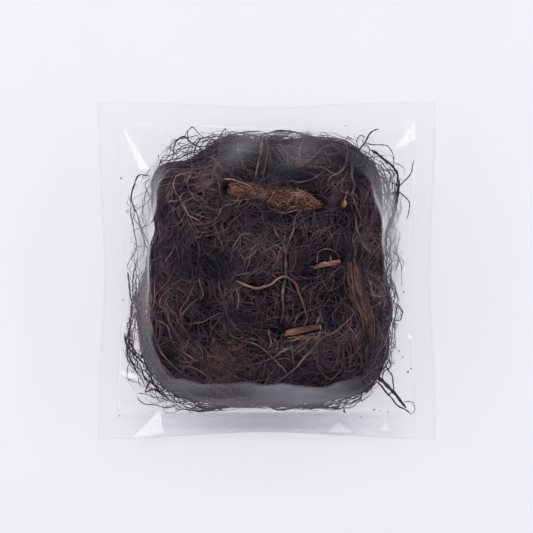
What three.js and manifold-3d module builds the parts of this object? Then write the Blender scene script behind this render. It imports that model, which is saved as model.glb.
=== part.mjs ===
// Dried spikenard root, a pressed mat of dark rootlets with a few rhizome pieces, in a sealed clear pouch.
// The pouch lies on its back. Millimetres, +Z up, +Y towards the pouch's top edge, origin under its middle.
import * as THREE from "three";
import { mergeVertices } from "three/addons/utils/BufferGeometryUtils.js";
import Module from "manifold-3d";

const wasm = await Module();
wasm.setup();

// Pouch
const POUCH_SIDE = 150; // from corner to corner along each edge
const EDGE_BOW = 2.8; // how far the filling pulls the middle of each edge in
const SEAL_WIDTH = 9.5;
const SEAL_HEIGHT = 9; // of the heat seal above the table
const FILM = 0.4;
const SEAL_GAP = 0.3; // between the two films, so that each stays a solid of its own
const CORNER_DROOP = 1.6; // the free corners of the seal hang lower than its edges
const FLAP_DROP = 4.5; // the bottom seal bends down between its corners
const FLAP_HALF = 52;

// Root mat: a slab with a rounded square plan, widest near the seal, narrower towards its top and underside
const MAT_X = 118;
const MAT_Y = 121;
const MAT_CORNER = 3.6; // exponent of the plan's rounded square
const MAT_EDGE = 5; // exponent of the rounded edge in section
const MAT_WAIST = 10; // height of the widest level
const MAT_RISE = 18; // from there to the top
const MAT_FALL = 10.2; // from there down, before the table presses it flat
const TOP_TAPER = 0.15;
const UNDER_TAPER = 0.1;
const FILM_CLEAR = 0.6; // between mat and film
const MAT_BED = FILM + FILM_CLEAR; // height of the flat underside

// Rootlets. A lock stands for a few rootlets side by side, and covers the felted core with the others.
const LOCK_RADIUS = 1.7;
const LOCK_STEP = 8;
const LOCK_STEPS = 15;
const LOCK_SHORTEST = 4; // steps
const LOCK_BEND = 0.7; // how far it turns to the combing in a step
const LOCK_APART = 3.4; // between the middles of neighbours
const LOCK_TRIES = 1200;
const LOCK_DEPTH = 2.9; // of its middle below the mat's surface
const CORE_DEPTH = 5.2;
const CORE_LUMP = 0.3;
const OVER_RADIUS = 0.7; // single rootlets that cross over the locks
const OVER_STEP = 6;
const OVER_STEPS = 6;
const OVER_COUNT = 18;
const OVER_DEPTH = 0.75;
const OVER_TURN = 0.35; // most it turns in a step, in radians
const END_DEPTH = 6.8; // where the ends of locks and rootlets are sunk in the core
const STRAY_RADIUS = 0.5;
const STRAY_LOOPS = 8;
const STRAY_TIPS = 9;
const PIECE_GAP = 0.4; // round a piece that lies in the mat
const SEED = 1;

const FULL_TURN = Math.PI * 2;

// A seeded generator of numbers from 0 to 1 (mulberry32)
function seeded(seed) {
  let state = seed;
  return () => {
    state = (state + 0x6d2b79f5) | 0;
    let mixed = Math.imul(state ^ (state >>> 15), 1 | state);
    mixed = (mixed + Math.imul(mixed ^ (mixed >>> 7), 61 | mixed)) ^ mixed;
    return ((mixed ^ (mixed >>> 14)) >>> 0) / 4294967296;
  };
}

const random = seeded(SEED);
const between = (low, high) => low + (high - low) * random();
const smooth = THREE.MathUtils.smoothstep;
const vector = (x, y, z) => new THREE.Vector3(x, y, z);

// Solids

function solidOf(geometry) {
  const bare = new THREE.BufferGeometry();
  bare.setAttribute("position", geometry.getAttribute("position"));
  bare.setIndex(geometry.index);
  const merged = mergeVertices(bare, 1e-4);
  const vertProperties = merged.getAttribute("position").array;
  const triVerts = new Uint32Array(merged.index.array);
  return new wasm.Manifold(new wasm.Mesh({ numProp: 3, vertProperties, triVerts }));
}

function geometryOf(solid) {
  const { vertProperties, triVerts } = solid.getMesh();
  const geometry = new THREE.BufferGeometry();
  geometry.setAttribute("position", new THREE.BufferAttribute(vertProperties, 3));
  geometry.setIndex(new THREE.BufferAttribute(triVerts, 1));
  geometry.computeVertexNormals();
  return geometry;
}

function joined(solids) {
  return solids.reduce((whole, solid) => whole.add(solid));
}

// The largest body of a solid, without the scraps that a cut left
function wholeBody(solid) {
  return solid.decompose().reduce((best, body) => (body.volume() > best.volume() ? body : best));
}

// Moves each vertex of a geometry by a function of its place
function warp(geometry, place) {
  const position = geometry.getAttribute("position");
  const point = vector(0, 0, 0);
  for (let i = 0; i < position.count; i++) {
    point.fromBufferAttribute(position, i);
    place(point);
    position.setXYZ(i, point.x, point.y, point.z);
  }
  return geometry;
}

// A section with few sides, swept along a smooth curve through the points
function tube(points, radius, sides, steps) {
  const outline = [...Array(sides).keys()].map((side) => {
    const angle = (side / sides) * FULL_TURN;
    return new THREE.Vector2(radius * Math.cos(angle), radius * Math.sin(angle));
  });
  const extrudePath = new THREE.CatmullRomCurve3(points, false, "centripetal");
  return new THREE.ExtrudeGeometry(new THREE.Shape(outline), { steps, extrudePath, bevelEnabled: false });
}

// The mat's surface

function matHalf(grow) {
  return { x: MAT_X / 2 + grow, y: MAT_Y / 2 + grow, up: MAT_RISE + grow, down: MAT_FALL + grow };
}

function planShare(point, half) {
  return Math.abs(point.x / half.x) ** MAT_CORNER + Math.abs(point.y / half.y) ** MAT_CORNER;
}

// How far out a point lies, as a share of the slab with those half sizes, before the taper
function share(point, half) {
  const rise = Math.abs(point.z / (point.z > 0 ? half.up : half.down));
  return (planShare(point, half) ** (MAT_EDGE / MAT_CORNER) + rise ** MAT_EDGE) ** (1 / MAT_EDGE);
}

// The outward direction of that slab at a point on it
function outward(point, half) {
  const pull = (value, size, power) => (Math.sign(value) * Math.abs(value / size) ** (power - 1)) / size;
  const side = planShare(point, half) ** (MAT_EDGE / MAT_CORNER - 1);
  const x = side * pull(point.x, half.x, MAT_CORNER);
  const y = side * pull(point.y, half.y, MAT_CORNER);
  const z = pull(point.z, point.z > 0 ? half.up : half.down, MAT_EDGE);
  return vector(x, y, z).normalize();
}

// From the straight-sided slab about its middle to the tapered mat on the table
function settle(point, grow) {
  const half = matHalf(grow);
  const level = THREE.MathUtils.clamp(point.z / (point.z > 0 ? half.up : half.down), -1, 1);
  const taper = 1 - (level > 0 ? TOP_TAPER : UNDER_TAPER) * level * level;
  const height = Math.max(point.z + MAT_WAIST, MAT_BED - grow);
  return point.set(point.x * taper, point.y * taper, height);
}

// Height of the mat's top over a place in its plan
function topHeight(x, y) {
  const half = matHalf(0);
  let level = 1;
  for (let i = 0; i < 6; i++) {
    const taper = 1 - TOP_TAPER * level * level;
    const plan = planShare(vector(x / taper, y / taper, 0), half) ** (MAT_EDGE / MAT_CORNER);
    level = Math.max(0, 1 - plan) ** (1 / MAT_EDGE);
  }
  return MAT_WAIST + MAT_RISE * level;
}

function rimReach(angle, grow) {
  const direction = vector(Math.cos(angle), Math.sin(angle), 0);
  return 1 / share(direction, matHalf(grow));
}

// Pouch film

// Distance from the middle to a square of that half side, whose sides bow in
function squareReach(angle, half) {
  const square = half / Math.max(Math.abs(Math.cos(angle)), Math.abs(Math.sin(angle)));
  return square * (1 - (EDGE_BOW / half) * Math.cos(2 * angle) ** 2);
}

function sealLine(angle) {
  return squareReach(angle, POUCH_SIDE / 2 - SEAL_WIDTH);
}

// Height of the seal: its corners droop and the bottom flap bends down
function sealHeight(x, y) {
  const half = POUCH_SIDE / 2;
  const droop = CORNER_DROOP * ((x * y) / (half * half)) ** 2;
  const past = smooth(-y, half - SEAL_WIDTH, half);
  const along = 1 - smooth(Math.abs(x), FLAP_HALF - SEAL_WIDTH, FLAP_HALF);
  return SEAL_HEIGHT - droop - FLAP_DROP * past * along;
}

// Rings of a film from its middle out: over the mat by shares of a quarter turn, then down the skirt
const FILM_COLUMNS = 40;
const DOME_RINGS = [0, 0.12, 0.3, 0.5, 0.66, 0.78, 0.86, 0.92];
const SKIRT_RINGS = [0.35, 0.7, 1];
const RING_COUNT = DOME_RINGS.length + SKIRT_RINGS.length + 1;
const SKIRT_CURVE = 1.5;

function domePoint(ring, angle, side, grow) {
  const half = matHalf(grow);
  const turn = (DOME_RINGS[ring] * Math.PI) / 2;
  const reach = Math.sin(turn) ** (2 / MAT_EDGE) * rimReach(angle, grow);
  const rise = side * Math.cos(turn) ** (2 / MAT_EDGE) * (side > 0 ? half.up : half.down);
  return settle(vector(reach * Math.cos(angle), reach * Math.sin(angle), rise), grow);
}

// One point of a film. side is 1 on the front film and -1 on the back one, grow its distance from the mat
function filmPoint(ring, angle, side, grow) {
  if (ring < DOME_RINGS.length) return domePoint(ring, angle, side, grow);
  const foot = domePoint(DOME_RINGS.length - 1, angle, side, grow);
  const start = Math.hypot(foot.x, foot.y);
  const skirt = SKIRT_RINGS[ring - DOME_RINGS.length] ?? 1;
  const edge = ring === RING_COUNT - 1;
  const reach = edge ? squareReach(angle, POUCH_SIDE / 2) : start + (sealLine(angle) - start) * skirt;
  const point = vector(reach * Math.cos(angle), reach * Math.sin(angle), 0);
  const seal = sealHeight(point.x, point.y) + side * (SEAL_GAP / 2 + grow - FILM_CLEAR);
  return point.setZ(seal + (foot.z - seal) * (1 - skirt) ** SKIRT_CURVE);
}

// Splits the quads of a lathe's way back along the other diagonal, so that both faces of a film fold alike
function splitAlike(lathe) {
  const corners = lathe.index.array;
  const quadsAround = 2 * RING_COUNT - 1;
  for (let quad = 0; quad < corners.length / 6; quad++) {
    if (quad % quadsAround < RING_COUNT) continue;
    const [a, b, d, c] = corners.slice(6 * quad);
    corners.set([a, b, c, a, c, d], 6 * quad);
  }
  return lathe;
}

// A film is a lathe turned in ring numbers, out along its lower face and back along its upper one
function film(side) {
  const rings = [...Array(RING_COUNT).keys()];
  const lower = rings.map((ring) => new THREE.Vector2(ring, side > 0 ? 0 : 1));
  const upper = rings.reverse().map((ring) => new THREE.Vector2(ring, side > 0 ? 1 : 0));
  const lathe = splitAlike(new THREE.LatheGeometry([...lower, ...upper], FILM_COLUMNS));
  return warp(lathe, (point) => {
    const ring = Math.round(Math.hypot(point.x, point.z));
    const angle = Math.atan2(point.x, point.z);
    point.copy(filmPoint(ring, angle, side, FILM_CLEAR + FILM * point.y));
  });
}

// Rootlets of the mat

const CORE_COLUMNS = 32;
const CORE_ROWS = 14;

// The felted inside, an uneven copy of the mat's form
function core() {
  const half = matHalf(-CORE_DEPTH);
  const ball = new THREE.SphereGeometry(1, CORE_COLUMNS, CORE_ROWS).rotateX(Math.PI / 2);
  return warp(ball, (point) => {
    point.set(point.x * half.x, point.y * half.y, point.z * (point.z > 0 ? half.up : half.down));
    point.divideScalar(share(point, half));
    const lump = CORE_LUMP * Math.sin(point.x / 7) * Math.sin(point.y / 6 + point.z / 4);
    point.addScaledVector(outward(point, half), lump);
    settle(point, -CORE_DEPTH);
  });
}

// The line along which the rootlets are combed at a place: whorls inside, round the mat at its rim
function combed(point) {
  const angle = 1.6 * Math.sin(point.x / 23 + 0.6) + 1.9 * Math.cos(point.y / 19 - point.z / 9);
  const whorl = vector(Math.cos(angle), Math.sin(angle), 0);
  const round = vector(-point.y, point.x, 0).normalize();
  const rim = smooth(planShare(point, matHalf(0)) ** (1 / MAT_CORNER), 0.65, 0.95);
  return whorl.lerp(round.multiplyScalar(Math.sign(whorl.dot(round))), rim);
}

// A place anywhere on the slab
function anywhere(half) {
  const point = vector(between(-1, 1) * half.x, between(-1, 1) * half.y, between(-1.5, 1.5) * half.up);
  return point.divideScalar(share(point, half));
}

// One step over the slab's surface
function advance(point, way, step, half) {
  const normal = outward(point, half);
  way.addScaledVector(normal, -way.dot(normal)).normalize();
  const next = point.clone().addScaledVector(way, step);
  return next.divideScalar(share(next, half));
}

// A tube over the mat through those places, with both ends sunk into the core
function rootlet(places, half, depth, radius) {
  const last = places.length - 1;
  const points = places.map((place, i) => {
    const sunk = i % last ? 0 : END_DEPTH - depth;
    return settle(place.clone().addScaledVector(outward(place, half), -sunk), -depth);
  });
  return solidOf(tube(points, radius, 3, last + 1));
}

// The places of a lock, which follows the combing until it comes near another
function lockPlaces(start, half, laid) {
  const near = (place) => (other) => place.distanceTo(other) < LOCK_APART;
  const places = [];
  let place = start;
  const way = combed(start);
  while (places.length <= LOCK_STEPS && !laid.some(near(place)) && !places.slice(0, -2).some(near(place))) {
    places.push(place);
    const line = combed(place);
    way.lerp(line.multiplyScalar(Math.sign(line.dot(way))), LOCK_BEND);
    place = advance(place, way, LOCK_STEP, half);
  }
  return places;
}

// Locks laid one after another wherever there is still room
function locks() {
  const half = matHalf(-LOCK_DEPTH);
  const laid = [];
  const solids = [];
  for (let i = 0; i < LOCK_TRIES; i++) {
    const places = lockPlaces(anywhere(half), half, laid);
    if (places.length < LOCK_SHORTEST) continue;
    const middles = places.slice(1).map((place, j) => place.clone().lerp(places[j], 0.5));
    laid.push(...places, ...middles);
    solids.push(rootlet(places, half, LOCK_DEPTH, LOCK_RADIUS));
  }
  return solids;
}

function overRootlet() {
  const half = matHalf(-OVER_DEPTH);
  const places = [anywhere(half)];
  const way = vector(between(-1, 1), between(-1, 1), between(-1, 1));
  const turn = between(-OVER_TURN, OVER_TURN);
  for (let i = 0; i < OVER_STEPS; i++) {
    places.push(advance(places[i], way, OVER_STEP, half));
    way.applyAxisAngle(outward(places[i + 1], half), turn);
  }
  return rootlet(places, half, OVER_DEPTH, OVER_RADIUS);
}

// Height midway between the two films at a place beyond the mat's rim
function midHeight(x, y) {
  const angle = Math.atan2(y, x);
  const [front, back] = [1, -1].map((side) => domePoint(DOME_RINGS.length - 1, angle, side, 0));
  const start = Math.hypot(front.x, front.y);
  const skirt = THREE.MathUtils.clamp((Math.hypot(x, y) - start) / (sealLine(angle) - start), 0, 1);
  const seal = sealHeight(x, y);
  return seal + ((front.z + back.z) / 2 - seal) * (1 - skirt) ** SKIRT_CURVE;
}

const STRAY_ROOT = 6; // how deep a stray starts in the mat
const STRAY_CLEAR = 1.6; // from the seal line
const STRAY_OUT = [0.4, 0.9]; // furthest out, as a share of the way to the seal line
const LOOP_SPAN = [0.12, 0.22]; // round the mat, in radians
const TIP_CURL = 0.2;

// A place out from the mat's rim, as a share of the way to the seal line
function skirtPlace(angle, out) {
  const rim = rimReach(angle, 0);
  const reach = rim + (sealLine(angle) - STRAY_CLEAR - rim) * out;
  const x = reach * Math.cos(angle);
  const y = reach * Math.sin(angle);
  return vector(x, y, midHeight(x, y));
}

function strayStart(angle) {
  const reach = rimReach(angle, 0) - STRAY_ROOT;
  return vector(reach * Math.cos(angle), reach * Math.sin(angle), MAT_WAIST + 1);
}

// A stray that leaves the rim and comes back
function strayLoop(angle) {
  const span = between(...LOOP_SPAN);
  const out = between(...STRAY_OUT);
  const middle = [0.25, 0.5, 0.75].map((t) => skirtPlace(angle + span * t, out * Math.sin(Math.PI * t)));
  return tube([strayStart(angle), ...middle, strayStart(angle + span)], STRAY_RADIUS, 3, 8);
}

// A stray with a free tip that curls along the rim
function strayTip(angle) {
  const curl = between(-TIP_CURL, TIP_CURL);
  const out = between(...STRAY_OUT);
  const middle = [0.3, 0.7, 1].map((t) => skirtPlace(angle + curl * t * t, out * Math.sin(2 * t)));
  return tube([strayStart(angle), ...middle], STRAY_RADIUS, 3, 6);
}

// Strays spread round the rim
function strays(stray, count) {
  return [...Array(count).keys()].map((i) => solidOf(stray(((i + random()) / count) * FULL_TURN)));
}

// The stout root ends that leave the mat's lower right corner, then the twigs at its upper right
const CORNER_ROOTS = [
  { radius: 0.8, route: [[40, -46], [50, -52.5], [56, -56.5], [61.5, -60.5]] },
  { radius: 0.6, route: [[38, -50], [47, -56], [54, -58], [59, -60]] },
  { radius: 0.6, route: [[40, 49], [45, 56.5], [48.5, 61], [51, 61.6]] },
  { radius: 0.5, route: [[44, 46], [52, 53], [57, 50], [59.6, 45]] },
];

function cornerRoot({ radius, route }) {
  return solidOf(tube(route.map(([x, y]) => vector(x, y, midHeight(x, y))), radius, 4, 6));
}

// Pieces that lie in the mat's top. grow widens a piece into the pocket that takes it.

const UNDER_FILM = 0.4; // how far below the mat's surface the pieces lie

// A turned form with those radii along its length, fluted round and laid down at a place and heading
function rhizome({ lengthways, flutes, depth, middle, heading }, grow) {
  const fattest = Math.max(...lengthways.map(([, radius]) => radius)) * (1 + depth);
  const height = topHeight(...middle) - UNDER_FILM - fattest;
  const length = lengthways.at(-1)[0] - lengthways[0][0];
  const profile = lengthways.map(([along, radius], i) => {
    const end = i === 0 ? -grow : i === lengthways.length - 1 ? grow : 0;
    return new THREE.Vector2(radius ? radius + grow : 0, along - length / 2 + end);
  });
  const lathe = new THREE.LatheGeometry(profile, 2 * flutes);
  warp(lathe, (point) => {
    const angle = Math.atan2(point.x, point.z);
    const flute = 1 + depth * Math.cos(flutes * angle);
    point.set(point.x * flute, point.y, point.z * flute);
  });
  return lathe.rotateZ(heading - Math.PI / 2).translate(...middle, height);
}

// Two lobes of a rhizome in its coat of leaf fibres, pinched between them
const FIBROUS = {
  lengthways: [[0, 0], [0.6, 1.6], [9, 3.2], [14.5, 2.5], [19, 3.7], [26, 4.2], [33, 3.3], [38, 1.4], [39, 0]],
  flutes: 11,
  depth: 0.07,
  middle: [1.5, 32.4],
  heading: -0.26,
};

const CHIP = {
  lengthways: [[0, 0], [0.2, 1.3], [3, 1.7], [6, 1.4], [9.5, 1.7], [11.6, 1.2], [11.8, 0]],
  flutes: 5,
  depth: 0.1,
  middle: [26.6, 2.6],
  heading: 0.1,
};

const STICK = {
  lengthways: [[0, 0], [0.2, 1.1], [4, 1.4], [11, 1.3], [15.8, 1.5], [16, 0]],
  flutes: 6,
  depth: 0.05,
  middle: [16.2, -26.6],
  heading: 0.25,
};

const STUB = {
  lengthways: [[0, 0], [0.2, 1.2], [2.6, 1.5], [4.2, 1.3], [4.4, 0]],
  flutes: 5,
  depth: 0.08,
  middle: [33.8, 29.4],
  heading: 1.4,
};

// A pale root that winds across the middle of the mat
const PALE_RADIUS = 0.75;
const PALE_ROUTE = [[-13.5, -4.8], [-6, -8.2], [1, -8], [8, -3.4], [13, -8], [16.5, -16], [18.2, -22]];

function paleRoot(grow) {
  const points = PALE_ROUTE.map(([x, y]) => vector(x, y, topHeight(x, y) - PALE_RADIUS - UNDER_FILM));
  return tube(points, PALE_RADIUS + grow, 6, 22);
}

// Materials
const rootBark = new THREE.MeshStandardMaterial({ color: 0x352d32, roughness: 0.75, metalness: 0 });
const paleBark = new THREE.MeshStandardMaterial({ color: 0x8a6a58, roughness: 0.7, metalness: 0 });
const fibreCoat = new THREE.MeshStandardMaterial({ color: 0x7d5a3c, roughness: 0.8, metalness: 0 });
const cutWood = new THREE.MeshStandardMaterial({ color: 0xb08d62, roughness: 0.8, metalness: 0 });
const clearFilm = new THREE.MeshStandardMaterial({ color: 0xeeeef2, roughness: 0.15, metalness: 0 });
clearFilm.transparent = true;
clearFilm.opacity = 0.3;

const part = new THREE.Group();

function addPiece(name, geometry, material) {
  const mesh = new THREE.Mesh(geometry, material);
  mesh.name = name;
  part.add(mesh);
}

const rhizomePockets = [FIBROUS, CHIP, STICK, STUB].map((form) => solidOf(rhizome(form, PIECE_GAP)));
const pockets = [...rhizomePockets, solidOf(paleRoot(PIECE_GAP))];
const overs = Array.from({ length: OVER_COUNT }, overRootlet);
const loose = [...strays(strayLoop, STRAY_LOOPS), ...strays(strayTip, STRAY_TIPS)];
const roots = [...locks(), ...overs, ...loose, ...CORNER_ROOTS.map(cornerRoot)];
const felt = joined([solidOf(core()), ...roots]);

addPiece("pouch_back_film", film(-1), clearFilm);
addPiece("root_mat", geometryOf(wholeBody(felt.subtract(joined(pockets)))), rootBark);
addPiece("rhizome_fibrous", rhizome(FIBROUS, 0), fibreCoat);
addPiece("rhizome_chip", rhizome(CHIP, 0), cutWood);
addPiece("rhizome_stick", rhizome(STICK, 0), fibreCoat);
addPiece("rhizome_stub", rhizome(STUB, 0), cutWood);
addPiece("pale_root", paleRoot(0), paleBark);
addPiece("pouch_front_film", film(1), clearFilm);

export default part;
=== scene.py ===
"""Looks of a sealed clear pouch of dried spikenard root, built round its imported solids.

Lengths are millimetres until a mesh is made. +Z is up, +Y is towards the pouch's top edge.
"""

import math

import bpy
import numpy as np
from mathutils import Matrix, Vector


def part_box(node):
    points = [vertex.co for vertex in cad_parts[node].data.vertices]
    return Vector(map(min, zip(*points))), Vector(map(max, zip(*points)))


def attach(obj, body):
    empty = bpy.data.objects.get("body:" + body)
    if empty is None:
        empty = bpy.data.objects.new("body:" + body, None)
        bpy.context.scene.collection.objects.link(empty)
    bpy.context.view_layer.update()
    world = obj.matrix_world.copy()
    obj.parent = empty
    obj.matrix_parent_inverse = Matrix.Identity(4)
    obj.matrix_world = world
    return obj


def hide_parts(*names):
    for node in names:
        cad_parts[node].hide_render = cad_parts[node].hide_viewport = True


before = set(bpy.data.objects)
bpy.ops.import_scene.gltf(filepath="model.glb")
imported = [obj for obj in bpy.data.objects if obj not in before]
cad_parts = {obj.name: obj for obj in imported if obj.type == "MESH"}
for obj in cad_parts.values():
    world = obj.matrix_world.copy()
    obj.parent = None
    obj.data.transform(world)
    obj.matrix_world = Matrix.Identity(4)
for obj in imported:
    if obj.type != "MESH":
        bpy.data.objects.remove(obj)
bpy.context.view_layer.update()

MM = 0.001
SEED = 11
rng = np.random.default_rng(SEED)
FULL_TURN = 2 * math.pi
ANY_PHASE = 6.3  # a little over a full turn

# Pouch, as in the solids
film_high = np.array(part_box("pouch_front_film")[1]) / MM
POUCH_HALF = film_high[0]
PACK_TOP = film_high[2]
EDGE_BOW = 2.8
SEAL_WIDTH = 9.5
SEAL_HALF = POUCH_HALF - SEAL_WIDTH
SEAL_HEIGHT = 9.0
CORNER_DROOP = 1.6
FLAP_DROP = 4.5
FLAP_HALF = 52.0
FILM = 0.16
FILM_CLEAR = 0.6
UNDER_FILM = 0.1
SEAL_GAP = 0.1
SKIRT_CURVE = 1.5
SKIRT_START = 0.92  # share of a quarter turn at which the film leaves the mat

# Root mat, as in the solids
MAT_HALF_X = 59.0
MAT_HALF_Y = 60.5
MAT_CORNER = 3.6
MAT_EDGE = 5.0
MAT_WAIST = 10.0
MAT_RISE = PACK_TOP - MAT_WAIST - 1.0
MAT_FALL = 10.2
MAT_BED = 1.0
MAT_TOP = MAT_WAIST + MAT_RISE
TOP_TAPER = 0.15
UNDER_TAPER = 0.1
SLAB_RIM = 0.97  # share of its reach within which a place counts as on top or under

# Camera, straight above. The photograph's pixels are placed by it.
IMAGE_SIZE = 533
SENSOR = 36.0
LENS = 100.0
POUCH_PIXELS = 338.0
POUCH_MIDDLE_PIXEL = (267.0, 270.3)
SEAL_PIXEL = 2 * POUCH_HALF / POUCH_PIXELS
CAMERA_HEIGHT = SEAL_HEIGHT + SEAL_PIXEL * IMAGE_SIZE * LENS / SENSOR
CAMERA_X = (IMAGE_SIZE / 2 - POUCH_MIDDLE_PIXEL[0]) * SEAL_PIXEL
CAMERA_Y = (POUCH_MIDDLE_PIXEL[1] - IMAGE_SIZE / 2) * SEAL_PIXEL


def from_photo(pixels, height=MAT_TOP):
    """Places at that height which the camera sees at those pixels."""
    pixels = np.asarray(pixels, float)
    scale = SENSOR / LENS / IMAGE_SIZE * (CAMERA_HEIGHT - np.asarray(height, float))
    x = CAMERA_X + (pixels[..., 0] - IMAGE_SIZE / 2) * scale
    y = CAMERA_Y - (pixels[..., 1] - IMAGE_SIZE / 2) * scale
    return np.stack([x, y], axis=-1)


# Small helpers

def smooth(value, low, high):
    t = np.clip((value - low) / (high - low), 0.0, 1.0)
    return t * t * (3.0 - 2.0 * t)


def unit(vectors):
    return vectors / np.maximum(np.linalg.norm(vectors, axis=-1, keepdims=True), 1e-9)


def dot(a, b):
    return np.sum(a * b, axis=-1, keepdims=True)


def flat(x, y):
    return np.stack([x, y, np.zeros_like(x)], -1)


def flat_way(angle):
    return flat(np.cos(angle), np.sin(angle))


def each(count, low, high):
    """A random value for each of that many roots, evenly spread."""
    return rng.uniform(low, high, (count, 1))


def vary(count, middle, width):
    """A random value for each of that many roots, most of them near the middle one."""
    return rng.normal(middle, width, (count, 1))


def any_phase(size=None):
    return rng.uniform(0, ANY_PHASE, size)


def waves(seed, count, longest, shortest):
    """A smooth uneven field over the plan, about -1 to 1, from a sum of slanted waves."""
    draw = np.random.default_rng(seed)
    lengths = longest * (shortest / longest) ** draw.random(count)
    angles = draw.random(count) * FULL_TURN
    phases = draw.random(count) * FULL_TURN

    def field(x, y):
        total = np.zeros(np.shape(x))
        for length, angle, phase in zip(lengths, angles, phases):
            along = x * math.cos(angle) + y * math.sin(angle)
            total = total + np.sin(FULL_TURN * along / length + phase)
        return total / math.sqrt(count)

    return field


def line_distance(x, y, route):
    """Distance in plan from a line of straight stretches."""
    nearest = np.full(np.shape(x), np.inf)
    for start, end in zip(route[:-1], route[1:]):
        stretch = end - start
        along = (x - start[0]) * stretch[0] + (y - start[1]) * stretch[1]
        t = np.clip(along / stretch.dot(stretch), 0, 1)
        away = np.hypot(x - start[0] - t * stretch[0], y - start[1] - t * stretch[1])
        nearest = np.minimum(nearest, away)
    return nearest


def smooth_line(route, points):
    """Points along a smooth curve through a short given route."""
    route = np.asarray(route, float)
    knots = np.concatenate([[0], np.cumsum(np.linalg.norm(np.diff(route, axis=0), axis=1))])
    tangents = np.gradient(route, knots, axis=0)
    t = np.linspace(0, knots[-1], points)
    k = np.clip(np.searchsorted(knots, t, side="right") - 1, 0, len(route) - 2)
    h = (knots[k + 1] - knots[k])[:, None]
    u = (t - knots[k])[:, None] / h
    start = (1 + 2 * u) * (1 - u) ** 2 * route[k] + u * (1 - u) ** 2 * h * tangents[k]
    end = u ** 2 * (3 - 2 * u) * route[k + 1] + u ** 2 * (u - 1) * h * tangents[k + 1]
    return start + end


# The mat's form

def plan_share(p, grow=0.0):
    x = np.abs(p[..., 0]) / (MAT_HALF_X + grow)
    y = np.abs(p[..., 1]) / (MAT_HALF_Y + grow)
    return (x ** MAT_CORNER + y ** MAT_CORNER) ** (1 / MAT_CORNER)


def rise_size(p, grow=0.0):
    return np.where(p[..., 2] > 0, MAT_RISE, MAT_FALL) + grow


def mat_share(p, grow=0.0):
    """How far out a point lies, as a share of the slab before its taper."""
    rise = np.abs(p[..., 2]) / rise_size(p, grow)
    return (plan_share(p, grow) ** MAT_EDGE + rise ** MAT_EDGE) ** (1 / MAT_EDGE)


def outward(p):
    plan = np.maximum(plan_share(p), 1e-6)
    half = np.stack([np.full(plan.shape, MAT_HALF_X), np.full(plan.shape, MAT_HALF_Y), rise_size(p)], -1)
    power = np.array([MAT_CORNER - 1, MAT_CORNER - 1, MAT_EDGE - 1])
    pull = np.sign(p) * (np.abs(p) / half) ** power / half
    pull[..., :2] *= (plan ** (MAT_EDGE - MAT_CORNER))[..., None]
    return unit(pull)


def settle(p):
    """From the straight-sided slab about its middle to the tapered mat on the table."""
    level = np.clip(p[..., 2] / rise_size(p), -1, 1)
    taper = 1 - np.where(level > 0, TOP_TAPER, UNDER_TAPER) * level ** 2
    height = np.maximum(p[..., 2] + MAT_WAIST, MAT_BED)
    return np.stack([p[..., 0] * taper, p[..., 1] * taper, height], -1)


def on_slab(x, y, side):
    """Points of the slab's top, side 1, or of its under side, side -1, at places in plan."""
    inside = flat(x, y)
    inside = inside / np.maximum(plan_share(inside) / SLAB_RIM, 1.0)[..., None]
    level = (1 - plan_share(inside) ** MAT_EDGE) ** (1 / MAT_EDGE)
    inside[..., 2] = level * np.where(side > 0, MAT_RISE, -MAT_FALL)
    return inside


# The film's form

def rim_reach(angle, grow=0.0):
    return 1 / plan_share(flat_way(angle), grow)


def square_reach(angle, half):
    square = half / np.maximum(np.abs(np.cos(angle)), np.abs(np.sin(angle)))
    return square * (1 - EDGE_BOW / half * np.cos(2 * angle) ** 2)


def seal_height(x, y):
    droop = CORNER_DROOP * (x * y / POUCH_HALF ** 2) ** 2
    past = smooth(-y, SEAL_HALF, POUCH_HALF)
    along = 1 - smooth(np.abs(x), FLAP_HALF - SEAL_WIDTH, FLAP_HALF)
    return SEAL_HEIGHT - droop - FLAP_DROP * past * along


# The film's section over the mat: share of the mat's reach against share of its rise
section_turn = np.linspace(0, SKIRT_START, 200) * math.pi / 2
section_level = np.cos(section_turn) ** (2 / MAT_EDGE)


def section_reach(side):
    taper = TOP_TAPER if side > 0 else UNDER_TAPER
    return np.sin(section_turn) ** (2 / MAT_EDGE) * (1 - taper * section_level ** 2)


def film_height(x, y, side):
    """Height of a film before its folds. Side is 1 for the front film and -1 for the back film."""
    rise = (MAT_RISE if side > 0 else MAT_FALL) + FILM_CLEAR
    reaches = section_reach(side)
    reach = plan_share(flat(x, y), FILM_CLEAR)
    level = np.interp(reach, reaches, section_level)
    dome = np.maximum(MAT_WAIST + side * rise * level, MAT_BED - FILM_CLEAR)
    angle = np.arctan2(y, x)
    start = reaches[-1] * rim_reach(angle, FILM_CLEAR)
    skirt = np.clip((np.hypot(x, y) - start) / (square_reach(angle, SEAL_HALF) - start), 0, 1)
    seal = seal_height(x, y) + side * SEAL_GAP / 2
    return np.where(reach < reaches[-1], dome, seal + (dome - seal) * (1 - skirt) ** SKIRT_CURVE)


def between_films(x, y, radius, share):
    """Height of a thin thing between the films: share 0 lies on the back one, 1 under the front one."""
    low = film_height(x, y, -1) + FILM + radius
    high = film_height(x, y, 1) - UNDER_FILM - radius
    middle = (low + high) / 2
    half = np.maximum(high - low, 0) / 2
    return middle + half * (2 * share - 1)


# Meshes

def add_object(name, data):
    made = bpy.data.objects.new(name, data)
    bpy.context.scene.collection.objects.link(made)
    return made


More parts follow.
